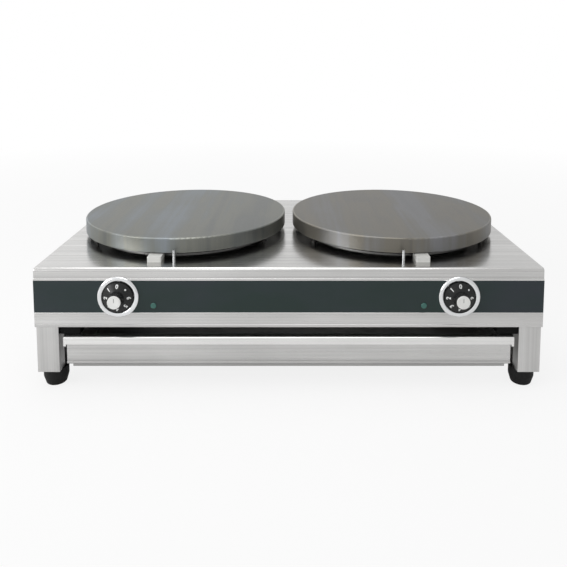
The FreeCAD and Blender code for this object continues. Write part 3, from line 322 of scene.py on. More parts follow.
# %% [markdown]
# ## Griddle plates
# The cooking face is ground flat and then seasoned: a mid grey with a soft sheen, long grinding streaks,
# faint turning rings and a warmer skin in places. A lighter band along the rim's top edge and on the
# turned skirt is a painted highlight. Rings, edge and skirt need the distance from each plate's own
# middle. Each plate could have its own unwrapped picture, but a Mapping node that moves the pattern's
# centre there is enough.

# %% Ground and seasoned iron, one material per plate
EDGE_HIGHLIGHT_BAND = 0.006
EDGE_HIGHLIGHT_TONES = [(0.0, 1.0), (0.45, 1.0), (0.62, 1.75), (0.85, 1.65), (0.97, 1.32)]
BURNT = (0.74, 0.74, 0.74)
WARM = (1.02, 0.98, 0.9)
COOL = (1.22, 1.27, 1.42)
GRINDING = (13, 0.9, 1)
FINE_GRINDING = (90, 1.5, 1)
STAIN_SIZE = (5, 5, 5)
RING_PITCH = 700.0
SPECK_PITCH = 260.0


def shaded(tone, shares):
    """A tone with each channel times its share."""
    return tuple(share * value for share, value in zip(shares, tone))


def seasoned_iron(name, plate, tone, seed):
    """Ground iron centred on a plate; seed moves the stains, so that the two plates aren't alike."""
    low, high = piece_box(plate)
    middle = (low + high) / 2
    radius = (high.x - low.x) / 2
    material, tree, shader = new_material(name, Metallic=0.65)
    centred = stretched(tree, (1, 1, 1), (-middle.x, -middle.y, -high.z))
    reach = add_node(tree, "ShaderNodeVectorMath", {0: tinted(tree, centred, (1, 1, 0))},
                     operation="LENGTH").outputs["Value"]
    ring_place = add_node(tree, "ShaderNodeCombineXYZ", {"X": reach}).outputs["Vector"]
    rings = noise(tree, ring_place, RING_PITCH)
    streaks = noise(tree, stretched(tree, GRINDING, seed))
    fine = noise(tree, stretched(tree, FINE_GRINDING, seed), roughness=0.6)
    stains = noise(tree, stretched(tree, STAIN_SIZE, seed), detail=4.0)
    speck = noise(tree, centred, SPECK_PITCH)
    mix = weighted(tree, (streaks, 0.6), (stains, 0.25), (fine, 0.15))
    colour = ramp(tree, mix, [(0.4, shaded(tone, BURNT)), (0.47, shaded(tone, WARM)), (0.52, tone),
                              (0.6, shaded(tone, COOL))])
    # Painted highlight: lighter along the rim's top edge and on the skirt.
    edge_highlight = ramp(tree, spread(tree, reach, 0.0, 1.0, radius - EDGE_HIGHLIGHT_BAND, radius), EDGE_HIGHLIGHT_TONES)
    tree.links.new(tinted(tree, colour, edge_highlight), shader.inputs["Base Color"])
    worn = weighted(tree, (mix, 1.0), (speck, 0.25))
    tree.links.new(spread(tree, worn, 0.28, 0.48, 0.35, 0.85), shader.inputs["Roughness"])
    bump(tree, shader, weighted(tree, (rings, 1.0), (speck, 0.6)), strength=0.12, distance=0.0004)
    return material


iron_left = seasoned_iron("IronLeft", "griddle_plate_left", (0.152, 0.161, 0.155), (0.3, 0.0, 0.0))
iron_right = seasoned_iron("IronRight", "griddle_plate_right", (0.138, 0.134, 0.123), (5.2, 3.1, 0.0))
paint(iron_left, "griddle_plate_left")
paint(iron_right, "griddle_plate_right")
print("plate top at", round(piece_box("griddle_plate_left")[1].z, 4))

# %% [markdown]
# ## The control panel
# A full-width strip of back-painted acrylic: slate black with a green cast, glossy, with a slight cloud in
# the paint and fine dust that dulls the gloss in spots. A clear coat over a black base would be the usual
# way, but it mirrors a white room too strongly, so the surface has a lower specular level instead.

# %% Glossy panel
PANEL_TONES = [(0.36, (0.018, 0.034, 0.031)), (0.5, (0.023, 0.036, 0.038)), (0.64, (0.029, 0.036, 0.045))]
PAINT_CLOUD = (4.5, 3, 9)
DUST_SIZE = (300, 300, 300)
panel_paint, tree, shader = new_material("PanelGloss", Specular_IOR_Level=0.3)
cloud = noise(tree, stretched(tree, PAINT_CLOUD))
dust = noise(tree, stretched(tree, DUST_SIZE), detail=2.0)
tree.links.new(ramp(tree, cloud, PANEL_TONES), shader.inputs["Base Color"])
tree.links.new(spread(tree, dust, 0.14, 0.26), shader.inputs["Roughness"])
bump(tree, shader, dust, strength=0.02, distance=0.0002)
paint(panel_paint, "control_panel")
print("panel is", round(panel_high.z - panel_low.z, 4), "m high")

# %% [markdown]
# ## Small materials
# Chrome, moulded black, pale satin plastic, rubber, glazed ceramic, plated and heat-darkened steel, green
# lens, wool and lead insulation. A single flat value would look like a placeholder, so each has its own
# fine pattern. They differ in colour, gloss, grain size and depth, and one recipe makes them all.

# %% Simple finishes from one recipe
CLOUD_TO_GRAIN = 20
DARK_SHARE = 0.82


def speckled(name, colour, rough, size, depth, **surface):
    """A surface with a little change of tone and gloss, and a fine bump of a grain size and depth."""
    material, tree, shader = new_material(name, **surface)
    place = stretched(tree, (1, 1, 1))
    grain = noise(tree, place, size)
    cloud = noise(tree, place, size / CLOUD_TO_GRAIN, detail=2.0)
    dark = tuple(DARK_SHARE * value for value in colour)
    tree.links.new(ramp(tree, cloud, [(0.3, dark), (0.7, colour)]), shader.inputs["Base Color"])
    tree.links.new(spread(tree, grain, *rough), shader.inputs["Roughness"])
    bump(tree, shader, grain, strength=depth, distance=0.0004)
    return material


chrome = speckled("ChromeBright", (0.88, 0.89, 0.9), rough=(0.06, 0.14), size=120.0, depth=0.01,
                  Metallic=1.0)
dial_black = speckled("DialBlack", (0.014, 0.015, 0.015), rough=(0.2, 0.32), size=500.0, depth=0.02,
                      Specular_IOR_Level=0.35)
cap_white = speckled("CapSatin", (0.92, 0.92, 0.9), rough=(0.3, 0.4), size=300.0, depth=0.02)
mark_white = speckled("MarkWhite", (0.93, 0.94, 0.93), rough=(0.4, 0.5), size=300.0, depth=0.02)
pointer_grey = speckled("PointerGrey", (0.38, 0.38, 0.37), rough=(0.35, 0.45), size=300.0, depth=0.02)
rubber = speckled("FootRubber", (0.008, 0.0085, 0.0085), rough=(0.5, 0.7), size=700.0, depth=0.15,
                  Specular_IOR_Level=0.25)
ceramic = speckled("GuideCeramic", (0.84, 0.84, 0.81), rough=(0.18, 0.3), size=250.0, depth=0.03,
                   Coat_Weight=0.3)
zinc = speckled("ZincSteel", (0.58, 0.59, 0.6), rough=(0.2, 0.34), size=350.0, depth=0.03, Metallic=1.0)
heat_dark = speckled("PostHeatDark", (0.09, 0.088, 0.085), rough=(0.45, 0.6), size=350.0, depth=0.05,
                     Metallic=0.9)
sheath = speckled("ElementSheath", (0.16, 0.165, 0.16), rough=(0.4, 0.55), size=300.0, depth=0.1,
                  Metallic=0.8)
wool = speckled("MineralWool", (0.62, 0.58, 0.45), rough=(0.85, 0.98), size=220.0, depth=0.6)
# Near black for the blocks in the drawer's mouth, which stand in for the shade there.
shade_black = speckled("ShadeBlack", (0.006, 0.006, 0.006), rough=(0.6, 0.75), size=450.0, depth=0.08,
                       Specular_IOR_Level=0.1)
black_plastic = speckled("MouldedBlack", (0.02, 0.02, 0.021), rough=(0.4, 0.55), size=450.0, depth=0.08)
insulation = speckled("LeadInsulation", (0.5, 0.48, 0.42), rough=(0.5, 0.65), size=300.0, depth=0.05)
lens_green = speckled("LensGreen", (0.025, 0.13, 0.105), rough=(0.16, 0.26), size=90.0, depth=0.02,
                      Coat_Weight=0.4)

for side in SIDES:
    paint(chrome, "bezel_ring_" + side)
    paint(dial_black, "dial_" + side)
    paint(cap_white, "knob_cap_" + side)
    paint(ceramic, "ceramic_guide_" + side)
    paint(zinc, "knob_shaft_" + side, "stop_pin_" + side, "sensor_" + side)
    paint(heat_dark, "plate_posts_" + side, "element_clamp_" + side)
    paint(sheath, "heating_element_" + side)
    paint(wool, "wool_pad_" + side)
    paint(black_plastic, "thermostat_" + side, "lamp_body_" + side)
    paint(insulation, "leads_" + side)
    paint(lens_green, "lamp_lens_" + side)
    paint(rubber, "foot_front_" + side, "foot_rear_" + side)
paint(zinc, "foot_studs", "leg_bolts", "clamp_screws", "cover_screws")
paint(ceramic, "terminal_block")
paint(black_plastic, "cord_gland")
paint(insulation, "mains_leads")
unpainted = [name for name, node in nodes.items() if not node.data.materials or not node.data.materials[0]]
print("pieces without a finish:", unpainted)

# %% [markdown]
# ## Making pieces of our own
# Three ways of making cover all the dressing. What was turned on a lathe is a profile spun about the
# knob's axis. What was folded from sheet is a profile run from side to side. What repeats is a Geometry
# Nodes tree. Each piece ends as one mesh with its place in the mesh, because its object has to stay at
# the origin.

# %% Mesh helpers
SHARP_ANGLE = math.radians(32)
WELD = 1e-7


def dress(name, mesh, material, body, replaced=()):
    """Make a piece of a finished mesh, and let it ride on a body."""
    mesh.materials.clear()
    mesh.materials.append(material)
    piece = bpy.data.objects.new(name, mesh)
    bpy.context.scene.collection.objects.link(piece)
    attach(piece, body)
    if replaced:
        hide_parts(*replaced)
    return piece


def finish_piece(name, form, material, body, replaced=()):
    """Turn a bmesh into a piece with smooth faces and sharp folds."""
    bmesh.ops.remove_doubles(form, verts=form.verts, dist=WELD)
    bmesh.ops.recalc_face_normals(form, faces=form.faces)
    for face in form.faces:
        face.smooth = True
    mesh = bpy.data.meshes.new(name)
    form.to_mesh(mesh)
    form.free()
    mesh.set_sharp_from_angle(angle=SHARP_ANGLE)
    return dress(name, mesh, material, body, replaced)


def skin(form, rows, closed):
    """Join pairs of vertex rows with faces; closed joins each row's ends too."""
    for first, second in rows:
        count = len(first)
        for index in range(count if closed else count - 1):
            after = (index + 1) % count
            form.faces.new((first[index], first[after], second[after], second[index]))


def turned(name, centre, profile, material, body, replaced=(), steps=96, closed=True):
    """Spin a profile of (radius, y) points about the Y axis through a point."""
    form = bmesh.new()
    rows = []
    for step in range(steps):
        angle = 2 * math.pi * step / steps
        across, up = math.cos(angle), math.sin(angle)
        rows.append([form.verts.new((centre.x + radius * across, y, centre.z + radius * up))
                     for radius, y in profile])
    skin(form, [(rows[step], rows[(step + 1) % steps]) for step in range(steps)], closed)
    return finish_piece(name, form, material, body, replaced)


def folded(name, profile, start, end, material, body, replaced=()):
    """Run a closed profile of (y, z) points along X, with both ends closed."""
    form = bmesh.new()
    ends = [[form.verts.new((x, y, z)) for y, z in profile] for x in (start, end)]
    skin(form, [ends], True)
    form.faces.new(ends[0])
    form.faces.new(ends[1])
    return finish_piece(name, form, material, body, replaced)


def block(middle, size):
    """A bmesh box with a middle and a size."""
    form = bmesh.new()
    bmesh.ops.create_cube(form, size=1)
    form.transform(Matrix.Translation(middle) @ Matrix.Diagonal((*size, 1)))
    return form


def arc(centre, radii, first, last, steps):
    """Points on an arc or ellipse between two angles in degrees."""
    points = []
    for step in range(steps + 1):
        angle = math.radians(first + (last - first) * step / steps)
        points.append((centre[0] + radii[0] * math.cos(angle), centre[1] + radii[1] * math.sin(angle)))
    return points


print("folds over", round(math.degrees(SHARP_ANGLE)), "degrees stay sharp")

# %% [markdown]
# ## Bezel rings
# Each knob sits in a chromed ring. The ring was pressed and polished, so its section is a low dome with a
# small foot, spun about the knob's axis. A flat ring would be simpler and would mirror one tone. The dome
# mirrors the whole room in a narrow band, and that band is what the eye reads as chrome.

# %% Spin the rings
RING_HALF_WIDTH = 0.0045
RING_FOOT = 0.0012
CROWN_STEPS = 14
for side, place in KNOBS.items():
    ring_low, ring_high = piece_box("bezel_ring_" + side)
    outer = (ring_high.x - ring_low.x) / 2
    height = ring_high.y - ring_low.y
    crown = arc((outer - RING_HALF_WIDTH, ring_high.y - RING_FOOT), (RING_HALF_WIDTH, RING_FOOT - height),
                0, 180, CROWN_STEPS)
    section = [(outer, ring_high.y)] + crown + [(outer - 2 * RING_HALF_WIDTH, ring_high.y)]
    turned("ring_" + side, place, section, chrome, "casing", ["bezel_ring_" + side])
print("ring width", 2 * RING_HALF_WIDTH, "height", round(height, 4))

# %% [markdown]
# ## Knob caps
# A pale disc closes the end of each grip. It has a rolled edge, a shallow groove near the rim and a line
# that shows where the knob points. It was moulded round, so it is spun too. The disc is dished a little
# towards its middle, and the line lies in the dish, so nothing stands proud of the real piece.

# %% Spin the caps and lay their pointers
CAP_EDGE = 0.0008
GROOVE_DEPTH = 0.0004
GROOVE_SHARES = (0.84, 0.81, 0.77, 0.74)
POINTER_WIDTH = 0.0011
POINTER_SINK = 0.0003
POINTER_LENGTH_SHARE = 0.62
POINTER_MIDDLE_SHARE = 0.3
for side, place in KNOBS.items():
    cap_low, cap_high = piece_box("knob_cap_" + side)
    radius = (cap_high.x - cap_low.x) / 2
    face = cap_low.y
    edge = arc((radius - CAP_EDGE, face + CAP_EDGE), (CAP_EDGE, CAP_EDGE), 0, -90, 6)
    groove_levels = (face, face + GROOVE_DEPTH, face + GROOVE_DEPTH, face)
    groove = [(radius * share, level) for share, level in zip(GROOVE_SHARES, groove_levels)]
    section = [(0, cap_high.y), (radius, cap_high.y)] + edge + groove + [(0, face + POINTER_SINK)]
    turned("cap_" + side, place, section, cap_white, "knob_" + side, ["knob_cap_" + side],
           closed=False)
    middle = Vector((place.x, face + POINTER_SINK * 0.5, place.z + radius * POINTER_MIDDLE_SHARE))
    pointer = block(middle, (POINTER_WIDTH, POINTER_SINK, radius * POINTER_LENGTH_SHARE))
    finish_piece("pointer_" + side, pointer, pointer_grey, "knob_" + side)
print("cap radius", round(radius, 4))

# %% [markdown]
# ## A way to grow what repeats
# Copies could be made by a loop or an array modifier. A Geometry Nodes tree is clearer, because its named
# inputs hold the sizes and the same tree serves both sides. Two helpers begin and end a tree: the end
# makes the instances real and gives them their finish. The last helper runs a tree on a mesh and hands
# back a plain mesh at once, because a live modifier wouldn't be exported.

# %% Tree helpers
def new_tree(name, inputs):
    """A Geometry Nodes tree with geometry in and out, and further inputs by name."""
    tree = bpy.data.node_groups.new(name, "GeometryNodeTree")
    tree.interface.new_socket("Geometry", in_out="INPUT", socket_type="NodeSocketGeometry")
    for label, kind in inputs.items():
        tree.interface.new_socket(label, in_out="INPUT", socket_type="NodeSocket" + kind)
    tree.interface.new_socket("Geometry", in_out="OUTPUT", socket_type="NodeSocketGeometry")
    return tree, add_node(tree, "NodeGroupInput").outputs


def end_tree(tree, instances, finish):
    """Make a tree's instances real, give them a finish and hand them out."""
    real = add_node(tree, "GeometryNodeRealizeInstances", {"Geometry": instances})
    coated = add_node(tree, "GeometryNodeSetMaterial", {
        "Geometry": real.outputs["Geometry"], "Material": finish})
    add_node(tree, "NodeGroupOutput", {"Geometry": coated.outputs["Geometry"]})


def grow(name, tree, start_mesh, settings):
    """Run a tree on a mesh with its inputs set by name, and hand back the plain mesh."""
    carrier = bpy.data.objects.new(name + "_carrier", start_mesh)
    bpy.context.scene.collection.objects.link(carrier)
    modifier = carrier.modifiers.new("Grow", "NODES")
    modifier.node_group = tree
    for item in tree.interface.items_tree:
        if item.in_out == "INPUT" and item.name in settings:
            modifier[item.identifier] = settings[item.name]
    scene_state = bpy.context.evaluated_depsgraph_get()
    mesh = bpy.data.meshes.new_from_object(carrier.evaluated_get(scene_state), depsgraph=scene_state)
    mesh.name = name
    carrier.modifiers.remove(modifier)
    bpy.data.objects.remove(carrier)
    return mesh


print("tree helpers are ready")

# %% [markdown]
# ## Grip ribs
# The grip between dial and cap is ribbed for wet fingers. The ribs are equal and stand in a ring, so a
# tree sets one thin bar at each vertex of a circle and lays the ring into the front plane.

# %% Bars round each grip
BAR_SIDES = 10
GRIP_RADIUS = 0.0125
RIB_COUNT = 22
RIB_RADIUS = 0.0008
RIB_ENDS = 0.0015
CONE_HEIGHT = 0.009


def bars_round_circle():
    """A tree that sets bars round a circle, all along Y."""
    tree, given = new_tree("BarsRoundCircle", {
        "Count": "Int", "Radius": "Float", "Bar Radius": "Float", "Bar Length": "Float",
        "Centre": "Vector", "Finish": "Material"})
    circle = add_node(tree, "GeometryNodeMeshCircle", {
        "Vertices": given["Count"], "Radius": given["Radius"]})
    bar = add_node(tree, "GeometryNodeMeshCylinder", {
        "Vertices": BAR_SIDES, "Radius": given["Bar Radius"], "Depth": given["Bar Length"]})
    placed = add_node(tree, "GeometryNodeInstanceOnPoints", {
        "Points": circle.outputs["Mesh"], "Instance": bar.outputs["Mesh"]})
    moved = add_node(tree, "GeometryNodeTransform", {
        "Geometry": placed.outputs["Instances"], "Translation": given["Centre"],
        "Rotation": (math.pi / 2, 0, 0)})
    end_tree(tree, moved.outputs["Geometry"], given["Finish"])
    return tree


ribs_tree = bars_round_circle()
for side, place in KNOBS.items():
    dial_low, dial_high = piece_box("dial_" + side)
    back = dial_high.y - CONE_HEIGHT
    length = back - dial_low.y - 2 * RIB_ENDS
    mesh = grow("grip_ribs_" + side, ribs_tree, bpy.data.meshes.new("Start"), {
        "Count": RIB_COUNT, "Radius": GRIP_RADIUS, "Bar Radius": RIB_RADIUS, "Bar Length": length,
        "Centre": (place.x, (back + dial_low.y) / 2, place.z), "Finish": dial_black})
    dress("grip_ribs_" + side, mesh, dial_black, "knob_" + side)
print("ribs per grip", RIB_COUNT, "faces", len(mesh.polygons))

# %% [markdown]
# ## Numbers on the dials
# The dial's skirt is a cone that carries plain white numbers from 0 to 6, one every 45 degrees, and a dot
# in the last place. Flat numbers would sink into the cone at one end and hover at the other. So a text
# object gives each digit's outline, and its mesh is wrapped on the cone point by point, as a print
# follows a surface. The cone's slope is measured on the frame's own mesh.

# %% Outlines of the marks
DIGIT_HEIGHT = 0.0074
DIGIT_BOLD = 0.034
DIGIT_THICKNESS = 0.02
DOT_RADIUS = 0.0016
DOT_THICKNESS = 0.0004


def digit_mesh(character):
    """A digit's outline as a mesh of the wanted height, centred on the origin."""
    curve = bpy.data.curves.new("digit_" + character, "FONT")
    curve.body = character
    curve.resolution_u = 3
    curve.extrude = DIGIT_THICKNESS
    curve.offset = DIGIT_BOLD
    holder = bpy.data.objects.new("digit_holder", curve)
    bpy.context.scene.collection.objects.link(holder)
    mesh = bpy.data.meshes.new_from_object(holder)
    bpy.data.objects.remove(holder)
    corners = [vertex.co.copy() for vertex in mesh.vertices]
    low = Vector(min(corner[axis] for corner in corners) for axis in range(3))
    high = Vector(max(corner[axis] for corner in corners) for axis in range(3))
    scale = DIGIT_HEIGHT / (high.y - low.y)
    mesh.transform(Matrix.Scale(scale, 4) @ Matrix.Translation(-(low + high) / 2))
    return mesh


def dot_mesh():
    """A small round dot with some thickness."""
    form = bmesh.new()
    bmesh.ops.create_cone(form, cap_ends=True, segments=20, radius1=DOT_RADIUS, radius2=DOT_RADIUS,
                          depth=DOT_THICKNESS)
    mesh = bpy.data.meshes.new("dot")
    form.to_mesh(mesh)
    form.free()
    return mesh


print("digits are", DIGIT_HEIGHT, "m high")

# %% [markdown]
# ## Wrap the marks on the cone
# A mark's height runs along the cone's slope and its width round the axis, so both directions keep their
# length. Its front face stands a tenth of a millimetre proud, as printed paint does, and its back is sunk
# into the dial, so that no gap shows.

# %% Measure the cone and print on it
DIGIT_REACH = 0.0197
DIGIT_COUNT = 7
STEP_ANGLE = 45
FIRST_ANGLE = 90
PRINT_RISE = 0.00012
PRINT_SINK = 0.00024
CONE_NEAR = 0.016
CONE_FAR = 0.024
RAY_START = 0.1


def cone_depth(side, reach):
    """The y of the dial's surface at a distance from its axis, found by casting a ray at it."""
    place = KNOBS[side]
    start = Vector((place.x + reach, place.y - RAY_START, place.z))
    _, point, _, _ = nodes["dial_" + side].ray_cast(start, Vector((0, 1, 0)))
    return point.y


for side, place in KNOBS.items():
    slope = (cone_depth(side, CONE_FAR) - cone_depth(side, CONE_NEAR)) / (CONE_FAR - CONE_NEAR)
    level = cone_depth(side, CONE_NEAR) - slope * CONE_NEAR
    lean = math.atan(slope)
    form = bmesh.new()
    marks = [digit_mesh(str(value)) for value in range(DIGIT_COUNT)] + [dot_mesh()]
    for index, mesh in enumerate(marks):
        for vertex in mesh.vertices:
            across, up, rise = vertex.co
            reach = DIGIT_REACH + up * math.cos(lean)
            angle = math.radians(FIRST_ANGLE + STEP_ANGLE * index) - across / DIGIT_REACH
            depth = level + slope * reach + (-PRINT_RISE if rise > 0 else PRINT_SINK)
            vertex.co = (place.x + reach * math.cos(angle), depth, place.z + reach * math.sin(angle))
        form.from_mesh(mesh)
    finish_piece("dial_numbers_" + side, form, mark_white, "knob_" + side)
print("the skirt leans", round(math.degrees(lean), 1), "degrees")

# %% [markdown]
# ## Hems on the front
# Sheet steel is never left with a raw edge where hands reach. The cover's front band ends in a small
# rolled hem above the panel, the base pan's band begins with one, and its bottom edge is rolled as well.
# A bump could hint at them, but a real half-round bead mirrors the ceiling above and the floor below,
# which gives the thin light and dark lines along the bands.

# %% Run the beads
BEAD_PROUD = 0.0009
BEAD_SUNK = 0.0003
BEAD_STEPS = 10
SIDE_MARGIN = 0.0006
COVER_HEM = 0.0042
PAN_HEM = 0.0036
PAN_ROLL = 0.0048


def bead(name, low, high, material):
    """A half-round bead on the front face between two heights."""
    section = [(FRONT + BEAD_SUNK, high)]
    section += arc((FRONT, (low + high) / 2), (-BEAD_PROUD, (high - low) / 2), 90, -90, BEAD_STEPS)
    section += [(FRONT + BEAD_SUNK, low)]
    end = HALF_WIDTH - SIDE_MARGIN
    return folded(name, section, -end, end, material, "casing")


# The cover's hem also has a brighter tone, a painted highlight on top of what the bead mirrors.
bead("cover_hem", panel_high.z, panel_high.z + COVER_HEM, steel_hem_highlight)
bead("pan_hem", panel_low.z - PAN_HEM, panel_low.z, steel_lower)
bead("pan_roll", BASE_EDGE, BASE_EDGE + PAN_ROLL, steel_lower)
print("beads stand", BEAD_PROUD, "m proud")

# %% [markdown]
# ## Drawer front
# The drawer's face is a folded sheet: a rolled lip along its top that the fingers pull on, a plain face
# set back below it, and a hem along the bottom. A section says all of that at once, so each is a section
# run from side to side. The two ends of the lip are turned down a little further, as tabs. The lip has
# the brighter finish, partly polish from hands and partly a painted highlight, and the face below it is
# darker near the lip as painted shade.

# %% Fold the drawer's lip
SHEET = 0.0012
LIP_ROUND = 0.0035
LIP_DROP = 0.013
ROLL_STEPS = 8
EDGE_STEPS = 6
lip_front = lip_low.y
lip_half = lip_high.x
face_back = lip_high.y
roll = (lip_front + LIP_ROUND, lip_high.z - LIP_ROUND)
inner = LIP_ROUND - SHEET
edge_middle = (lip_front + SHEET / 2, lip_high.z - LIP_DROP + SHEET / 2)
lip_section = [(face_back, lip_high.z)]
lip_section += arc(roll, (-LIP_ROUND, LIP_ROUND), 90, 0, ROLL_STEPS)
lip_section += arc(edge_middle, (-SHEET / 2, SHEET / 2), 0, -180, EDGE_STEPS)
lip_section += arc(roll, (-inner, inner), 0, 90, ROLL_STEPS)
lip_section += [(face_back, lip_high.z - SHEET)]
folded("drawer_lip", lip_section, -lip_half, lip_half, steel_polish_and_highlight, "drawer",
       ["drawer_front"])
print("lip is", LIP_DROP, "m deep")

# %% [markdown]
# ## The face below the lip, and its tabs
# The face is the same sheet, a little narrower than the lip. Its hem bulges forwards along the bottom and
# stiffens it. The tabs lie just behind the lip's front, so that the two don't flicker through each other.

# %% Fold the face, its hem and the tabs
HEM_HEIGHT = 0.0046
HEM_PROUD = 0.0016
HEM_STEPS = 8
FACE_INSET = 0.0015
TAB_WIDTH = 0.004
TAB_DROP = 0.003
TAB_BACK = 0.0001
face_half = lip_half - FACE_INSET
face_front = face_back - SHEET
face_top = lip_high.z - SHEET
face_section = [(face_back, face_top), (face_front, face_top), (face_front, lip_low.z + HEM_HEIGHT)]
face_section += arc((face_front, lip_low.z + HEM_HEIGHT / 2), (-HEM_PROUD, HEM_HEIGHT / 2), 90, -90,
                    HEM_STEPS)
face_section += [(face_back, lip_low.z)]
folded("drawer_face", face_section, -face_half, face_half, steel_drawer, "drawer",
       ["drawer_front"])
tab_front = lip_front + TAB_BACK
tab_back = lip_front + SHEET
tab_high = lip_high.z - LIP_ROUND
tab_low = lip_high.z - LIP_DROP - TAB_DROP
tab_section = [(tab_front, tab_high), (tab_back, tab_high), (tab_back, tab_low), (tab_front, tab_low)]
for side, sign in SIDES.items():
    start, end = sorted((sign * lip_half, sign * (lip_half - TAB_WIDTH)))
    folded("drawer_tab_" + side, tab_section, start, end, steel_polish_and_highlight, "drawer")
print("lip stands", round(face_front - lip_front, 4), "m in front of the face")

# %% [markdown]
# ## Black shade blocks beside the drawer
# At the mouth of the drawer, between each rail's end and the front, a black block fills the gap above
# the drawer as painted shade, so that no light shows past the tray. It is a plain block, so a bevelled
# box is enough. It lies higher than anything on the drawer, so the drawer slides free below it.

# %% Bevelled blocks
BLOCK_WIDTH = 0.036
BLOCK_GAP = 0.0006
BLOCK_INSET = 0.003
BLOCK_EDGE = 0.0008
for side, sign in SIDES.items():
    leg_low, leg_high = piece_box("leg_front_" + side)
    rail_low, _ = piece_box("drawer_rail_" + side)
    outer = min(abs(leg_low.x), abs(leg_high.x))
    low = Vector((0, leg_low.y + BLOCK_INSET, lip_high.z + BLOCK_GAP))
    high = Vector((0, rail_low.y - BLOCK_GAP, BASE_EDGE))
    low.x, high.x = sorted((sign * outer, sign * (outer - BLOCK_WIDTH)))
    form = block((low + high) / 2, high - low)
    bmesh.ops.bevel(form, geom=form.edges[:], offset=BLOCK_EDGE, segments=2, affect="EDGES", profile=0.5)
    finish_piece("shade_block_" + side, form, shade_black, "casing")
print("blocks are", round(high.z - low.z, 4), "m high")

# %% [markdown]
# ## Cross recesses in the rear screws
# The rear panel's screws are in the frame as plain pan heads. Cutting a cross into each would mean
# changing the frame's own mesh, so a cross is two thin dark bars on the head instead. The heads' middles
# are read from the frame: a copy of the mesh is merged and walked solid by solid, and each middle becomes
# one point that a tree sets a cross on.

# %% Find the screws
SCREW_WELD = 1e-6


def solid_boxes(name):
    """The box of each separate solid in a piece of the frame."""
    form = bmesh.new()
    form.from_mesh(nodes[name].data)
    bmesh.ops.remove_doubles(form, verts=form.verts, dist=SCREW_WELD)
    left = set(form.verts)
    boxes = []
    while left:
        queue = [left.pop()]
        corners = []
        while queue:
            vertex = queue.pop()
            corners.append(vertex.co.copy())
            for edge in vertex.link_edges:
                other = edge.other_vert(vertex)
                if other in left:
                    left.remove(other)
                    queue.append(other)
        boxes.append((Vector(min(corner[axis] for corner in corners) for axis in range(3)),
                      Vector(max(corner[axis] for corner in corners) for axis in range(3))))
    form.free()
    return boxes


head_middles = [((low.x + high.x) / 2, high.y, (low.z + high.z) / 2)
                for low, high in solid_boxes("cover_screws")]
points = bpy.data.meshes.new("ScrewMiddles")
points.from_pydata(head_middles, [], [])
print("rear screws found:", len(head_middles))

# %% [markdown]
# ## One cross per point
# The tree joins an upright and a level bar to a cross, and sets the cross on every point. The cross's
# length, width and depth are its inputs.

# %% Set the crosses
CROSS_LENGTH = 0.0034
CROSS_WIDTH = 0.0008
CROSS_DEPTH = 0.0002


def crosses_on_points():
    """A tree that sets a cross, flat against Y, on every point."""
    tree, given = new_tree("CrossesOnPoints", {
        "Length": "Float", "Width": "Float", "Depth": "Float", "Finish": "Material"})
    shape = add_node(tree, "GeometryNodeJoinGeometry")
    for wide, tall in (("Length", "Width"), ("Width", "Length")):
        size = add_node(tree, "ShaderNodeCombineXYZ", {
            "X": given[wide], "Y": given["Depth"], "Z": given[tall]})
        bar = add_node(tree, "GeometryNodeMeshCube", {"Size": size.outputs["Vector"]})
        tree.links.new(bar.outputs["Mesh"], shape.inputs["Geometry"])
    placed = add_node(tree, "GeometryNodeInstanceOnPoints", {
        "Points": given["Geometry"], "Instance": shape.outputs["Geometry"]})
    end_tree(tree, placed.outputs["Instances"], given["Finish"])
    return tree


recess = grow("screw_recesses", crosses_on_points(), points, {
    "Length": CROSS_LENGTH, "Width": CROSS_WIDTH, "Depth": CROSS_DEPTH, "Finish": black_plastic})
dress("screw_recesses", recess, black_plastic, "casing")
print("faces in the crosses:", len(recess.polygons))

# %% [markdown]
# ## The floor
# A pale floor that fades into a white background. More light would whiten it and spoil the object, so the
# floor is a matt surface mixed with a glow that grows with the distance. Near the object the glow leaves
# room for the shadow. Gloss sees only a little of it, because the floor below the drawer has to stay dark
# in the legs' steel.

# %% Floor
FLOOR_REACH = 14.0
FLOOR_TONES = [(0.3, 0.82), (0.7, 0.84)]
FLOOR_CLOUD = (2, 2, 2)
GLOW_NEAR = 0.84
GLOW_REACH = (0.8, 3.0)
GLOW_IN_GLOSS = 0.15
WHITE = (1, 1, 1, 1)
floor_corners = [(x * FLOOR_REACH, y * FLOOR_REACH, 0) for x, y in ((-1, -1), (1, -1), (1, 1), (-1, 1))]
floor_mesh = bpy.data.meshes.new("Floor")
floor_mesh.from_pydata(floor_corners, [], [(0, 1, 2, 3)])
floor = bpy.data.objects.new("Floor", floor_mesh)
bpy.context.scene.collection.objects.link(floor)
floor_paint, tree, shader = new_material("FloorPale", Roughness=0.8)
tint = noise(tree, stretched(tree, FLOOR_CLOUD), detail=2.0)
tree.links.new(ramp(tree, tint, FLOOR_TONES), shader.inputs["Base Color"])
rays = add_node(tree, "ShaderNodeLightPath").outputs
away = add_node(tree, "ShaderNodeVectorMath", {0: stretched(tree, (1, 1, 1))}, operation="LENGTH")
fading = spread(tree, away.outputs["Value"], GLOW_NEAR, 1.0, *GLOW_REACH)
direct = maths(tree, "MULTIPLY", rays["Is Camera Ray"], fading)
seen = maths(tree, "ADD", direct, maths(tree, "MULTIPLY", rays["Is Glossy Ray"], GLOW_IN_GLOSS))
glow = add_node(tree, "ShaderNodeEmission", {"Color": WHITE, "Strength": 1.0})
blend = add_node(tree, "ShaderNodeMixShader", {0: seen, 1: shader.outputs[0], 2: glow.outputs[0]})
tree.links.new(blend.outputs[0], tree.nodes["Material Output"].inputs["Surface"])
floor_mesh.materials.append(floor_paint)
print("floor reaches", FLOOR_REACH, "m each way")

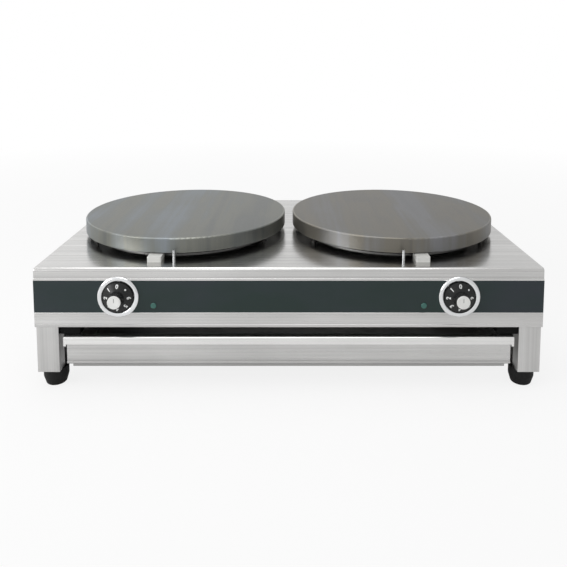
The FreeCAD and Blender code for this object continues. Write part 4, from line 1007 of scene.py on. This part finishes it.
# %% [markdown]
# ## The room
# The camera and clear things see the room as white, while the light that falls on the object stays at a
# plain level, so that colours render about as they are written. What gloss sees runs from white on the
# left to grey on the right, as when one wall is further away. A room of one tone would leave steel flat,
# and this gives it its gradient.

# %% World
PLAIN_LEVEL = 0.45
WALL_TONES = (1.0, 0.68)
WALL_REACH = (-0.45, 0.6)
world = bpy.data.worlds.new("Studio")
bpy.context.scene.world = world
world.use_nodes = True
tree = world.node_tree
rays = add_node(tree, "ShaderNodeLightPath").outputs
seen = maths(tree, "MAXIMUM", rays["Is Camera Ray"], rays["Is Transmission Ray"])
direction = add_node(tree, "ShaderNodeTexCoord").outputs["Generated"]
side_way = add_node(tree, "ShaderNodeSeparateXYZ", {"Vector": direction}).outputs["X"]
wall = spread(tree, side_way, *WALL_TONES, *WALL_REACH)
mirrored = maths(tree, "MULTIPLY", rays["Is Glossy Ray"], wall)
plain = maths(tree, "MULTIPLY", PLAIN_LEVEL, maths(tree, "SUBTRACT", 1.0, rays["Is Glossy Ray"]))
strength = maths(tree, "MAXIMUM", seen, maths(tree, "ADD", mirrored, plain))
background = tree.nodes["Background"]
background.inputs["Color"].default_value = WHITE
tree.links.new(strength, background.inputs["Strength"])
bpy.context.scene.view_settings.view_transform = "Standard"
print("plain level of the room", PLAIN_LEVEL)

# %% [markdown]
# ## Lamps
# Two large soft lamps, as over a studio table. Small lamps would throw hard spots on steel, and large ones
# give it broad soft bands. One hangs above. The other stands to the left in front, which leaves the inner
# side of the left leg dark and catches that of the right leg, as in the photograph.

# %% Lamps
LAMPS = {
    "LampOver": {"place": (-0.2, -0.1, 2.2), "aim": (0, 0, 0.2), "size": (2.2, 1.4), "power": 20},
    "LampLeft": {"place": (-2.2, -1.4, 1.2), "aim": (0, 0, 0.12), "size": (1.4, 1.4), "power": 28},
}


def soft_lamp(name, place, aim, size, power):
    """A large rectangular lamp aimed at a point."""
    data = bpy.data.lights.new(name, "AREA")
    data.shape = "RECTANGLE"
    data.size, data.size_y = size
    data.energy = power
    lamp = bpy.data.objects.new(name, data)
    bpy.context.scene.collection.objects.link(lamp)
    lamp.location = place
    lamp.rotation_euler = (Vector(aim) - Vector(place)).to_track_quat("-Z", "Y").to_euler()


for name, settings in LAMPS.items():
    soft_lamp(name, **settings)
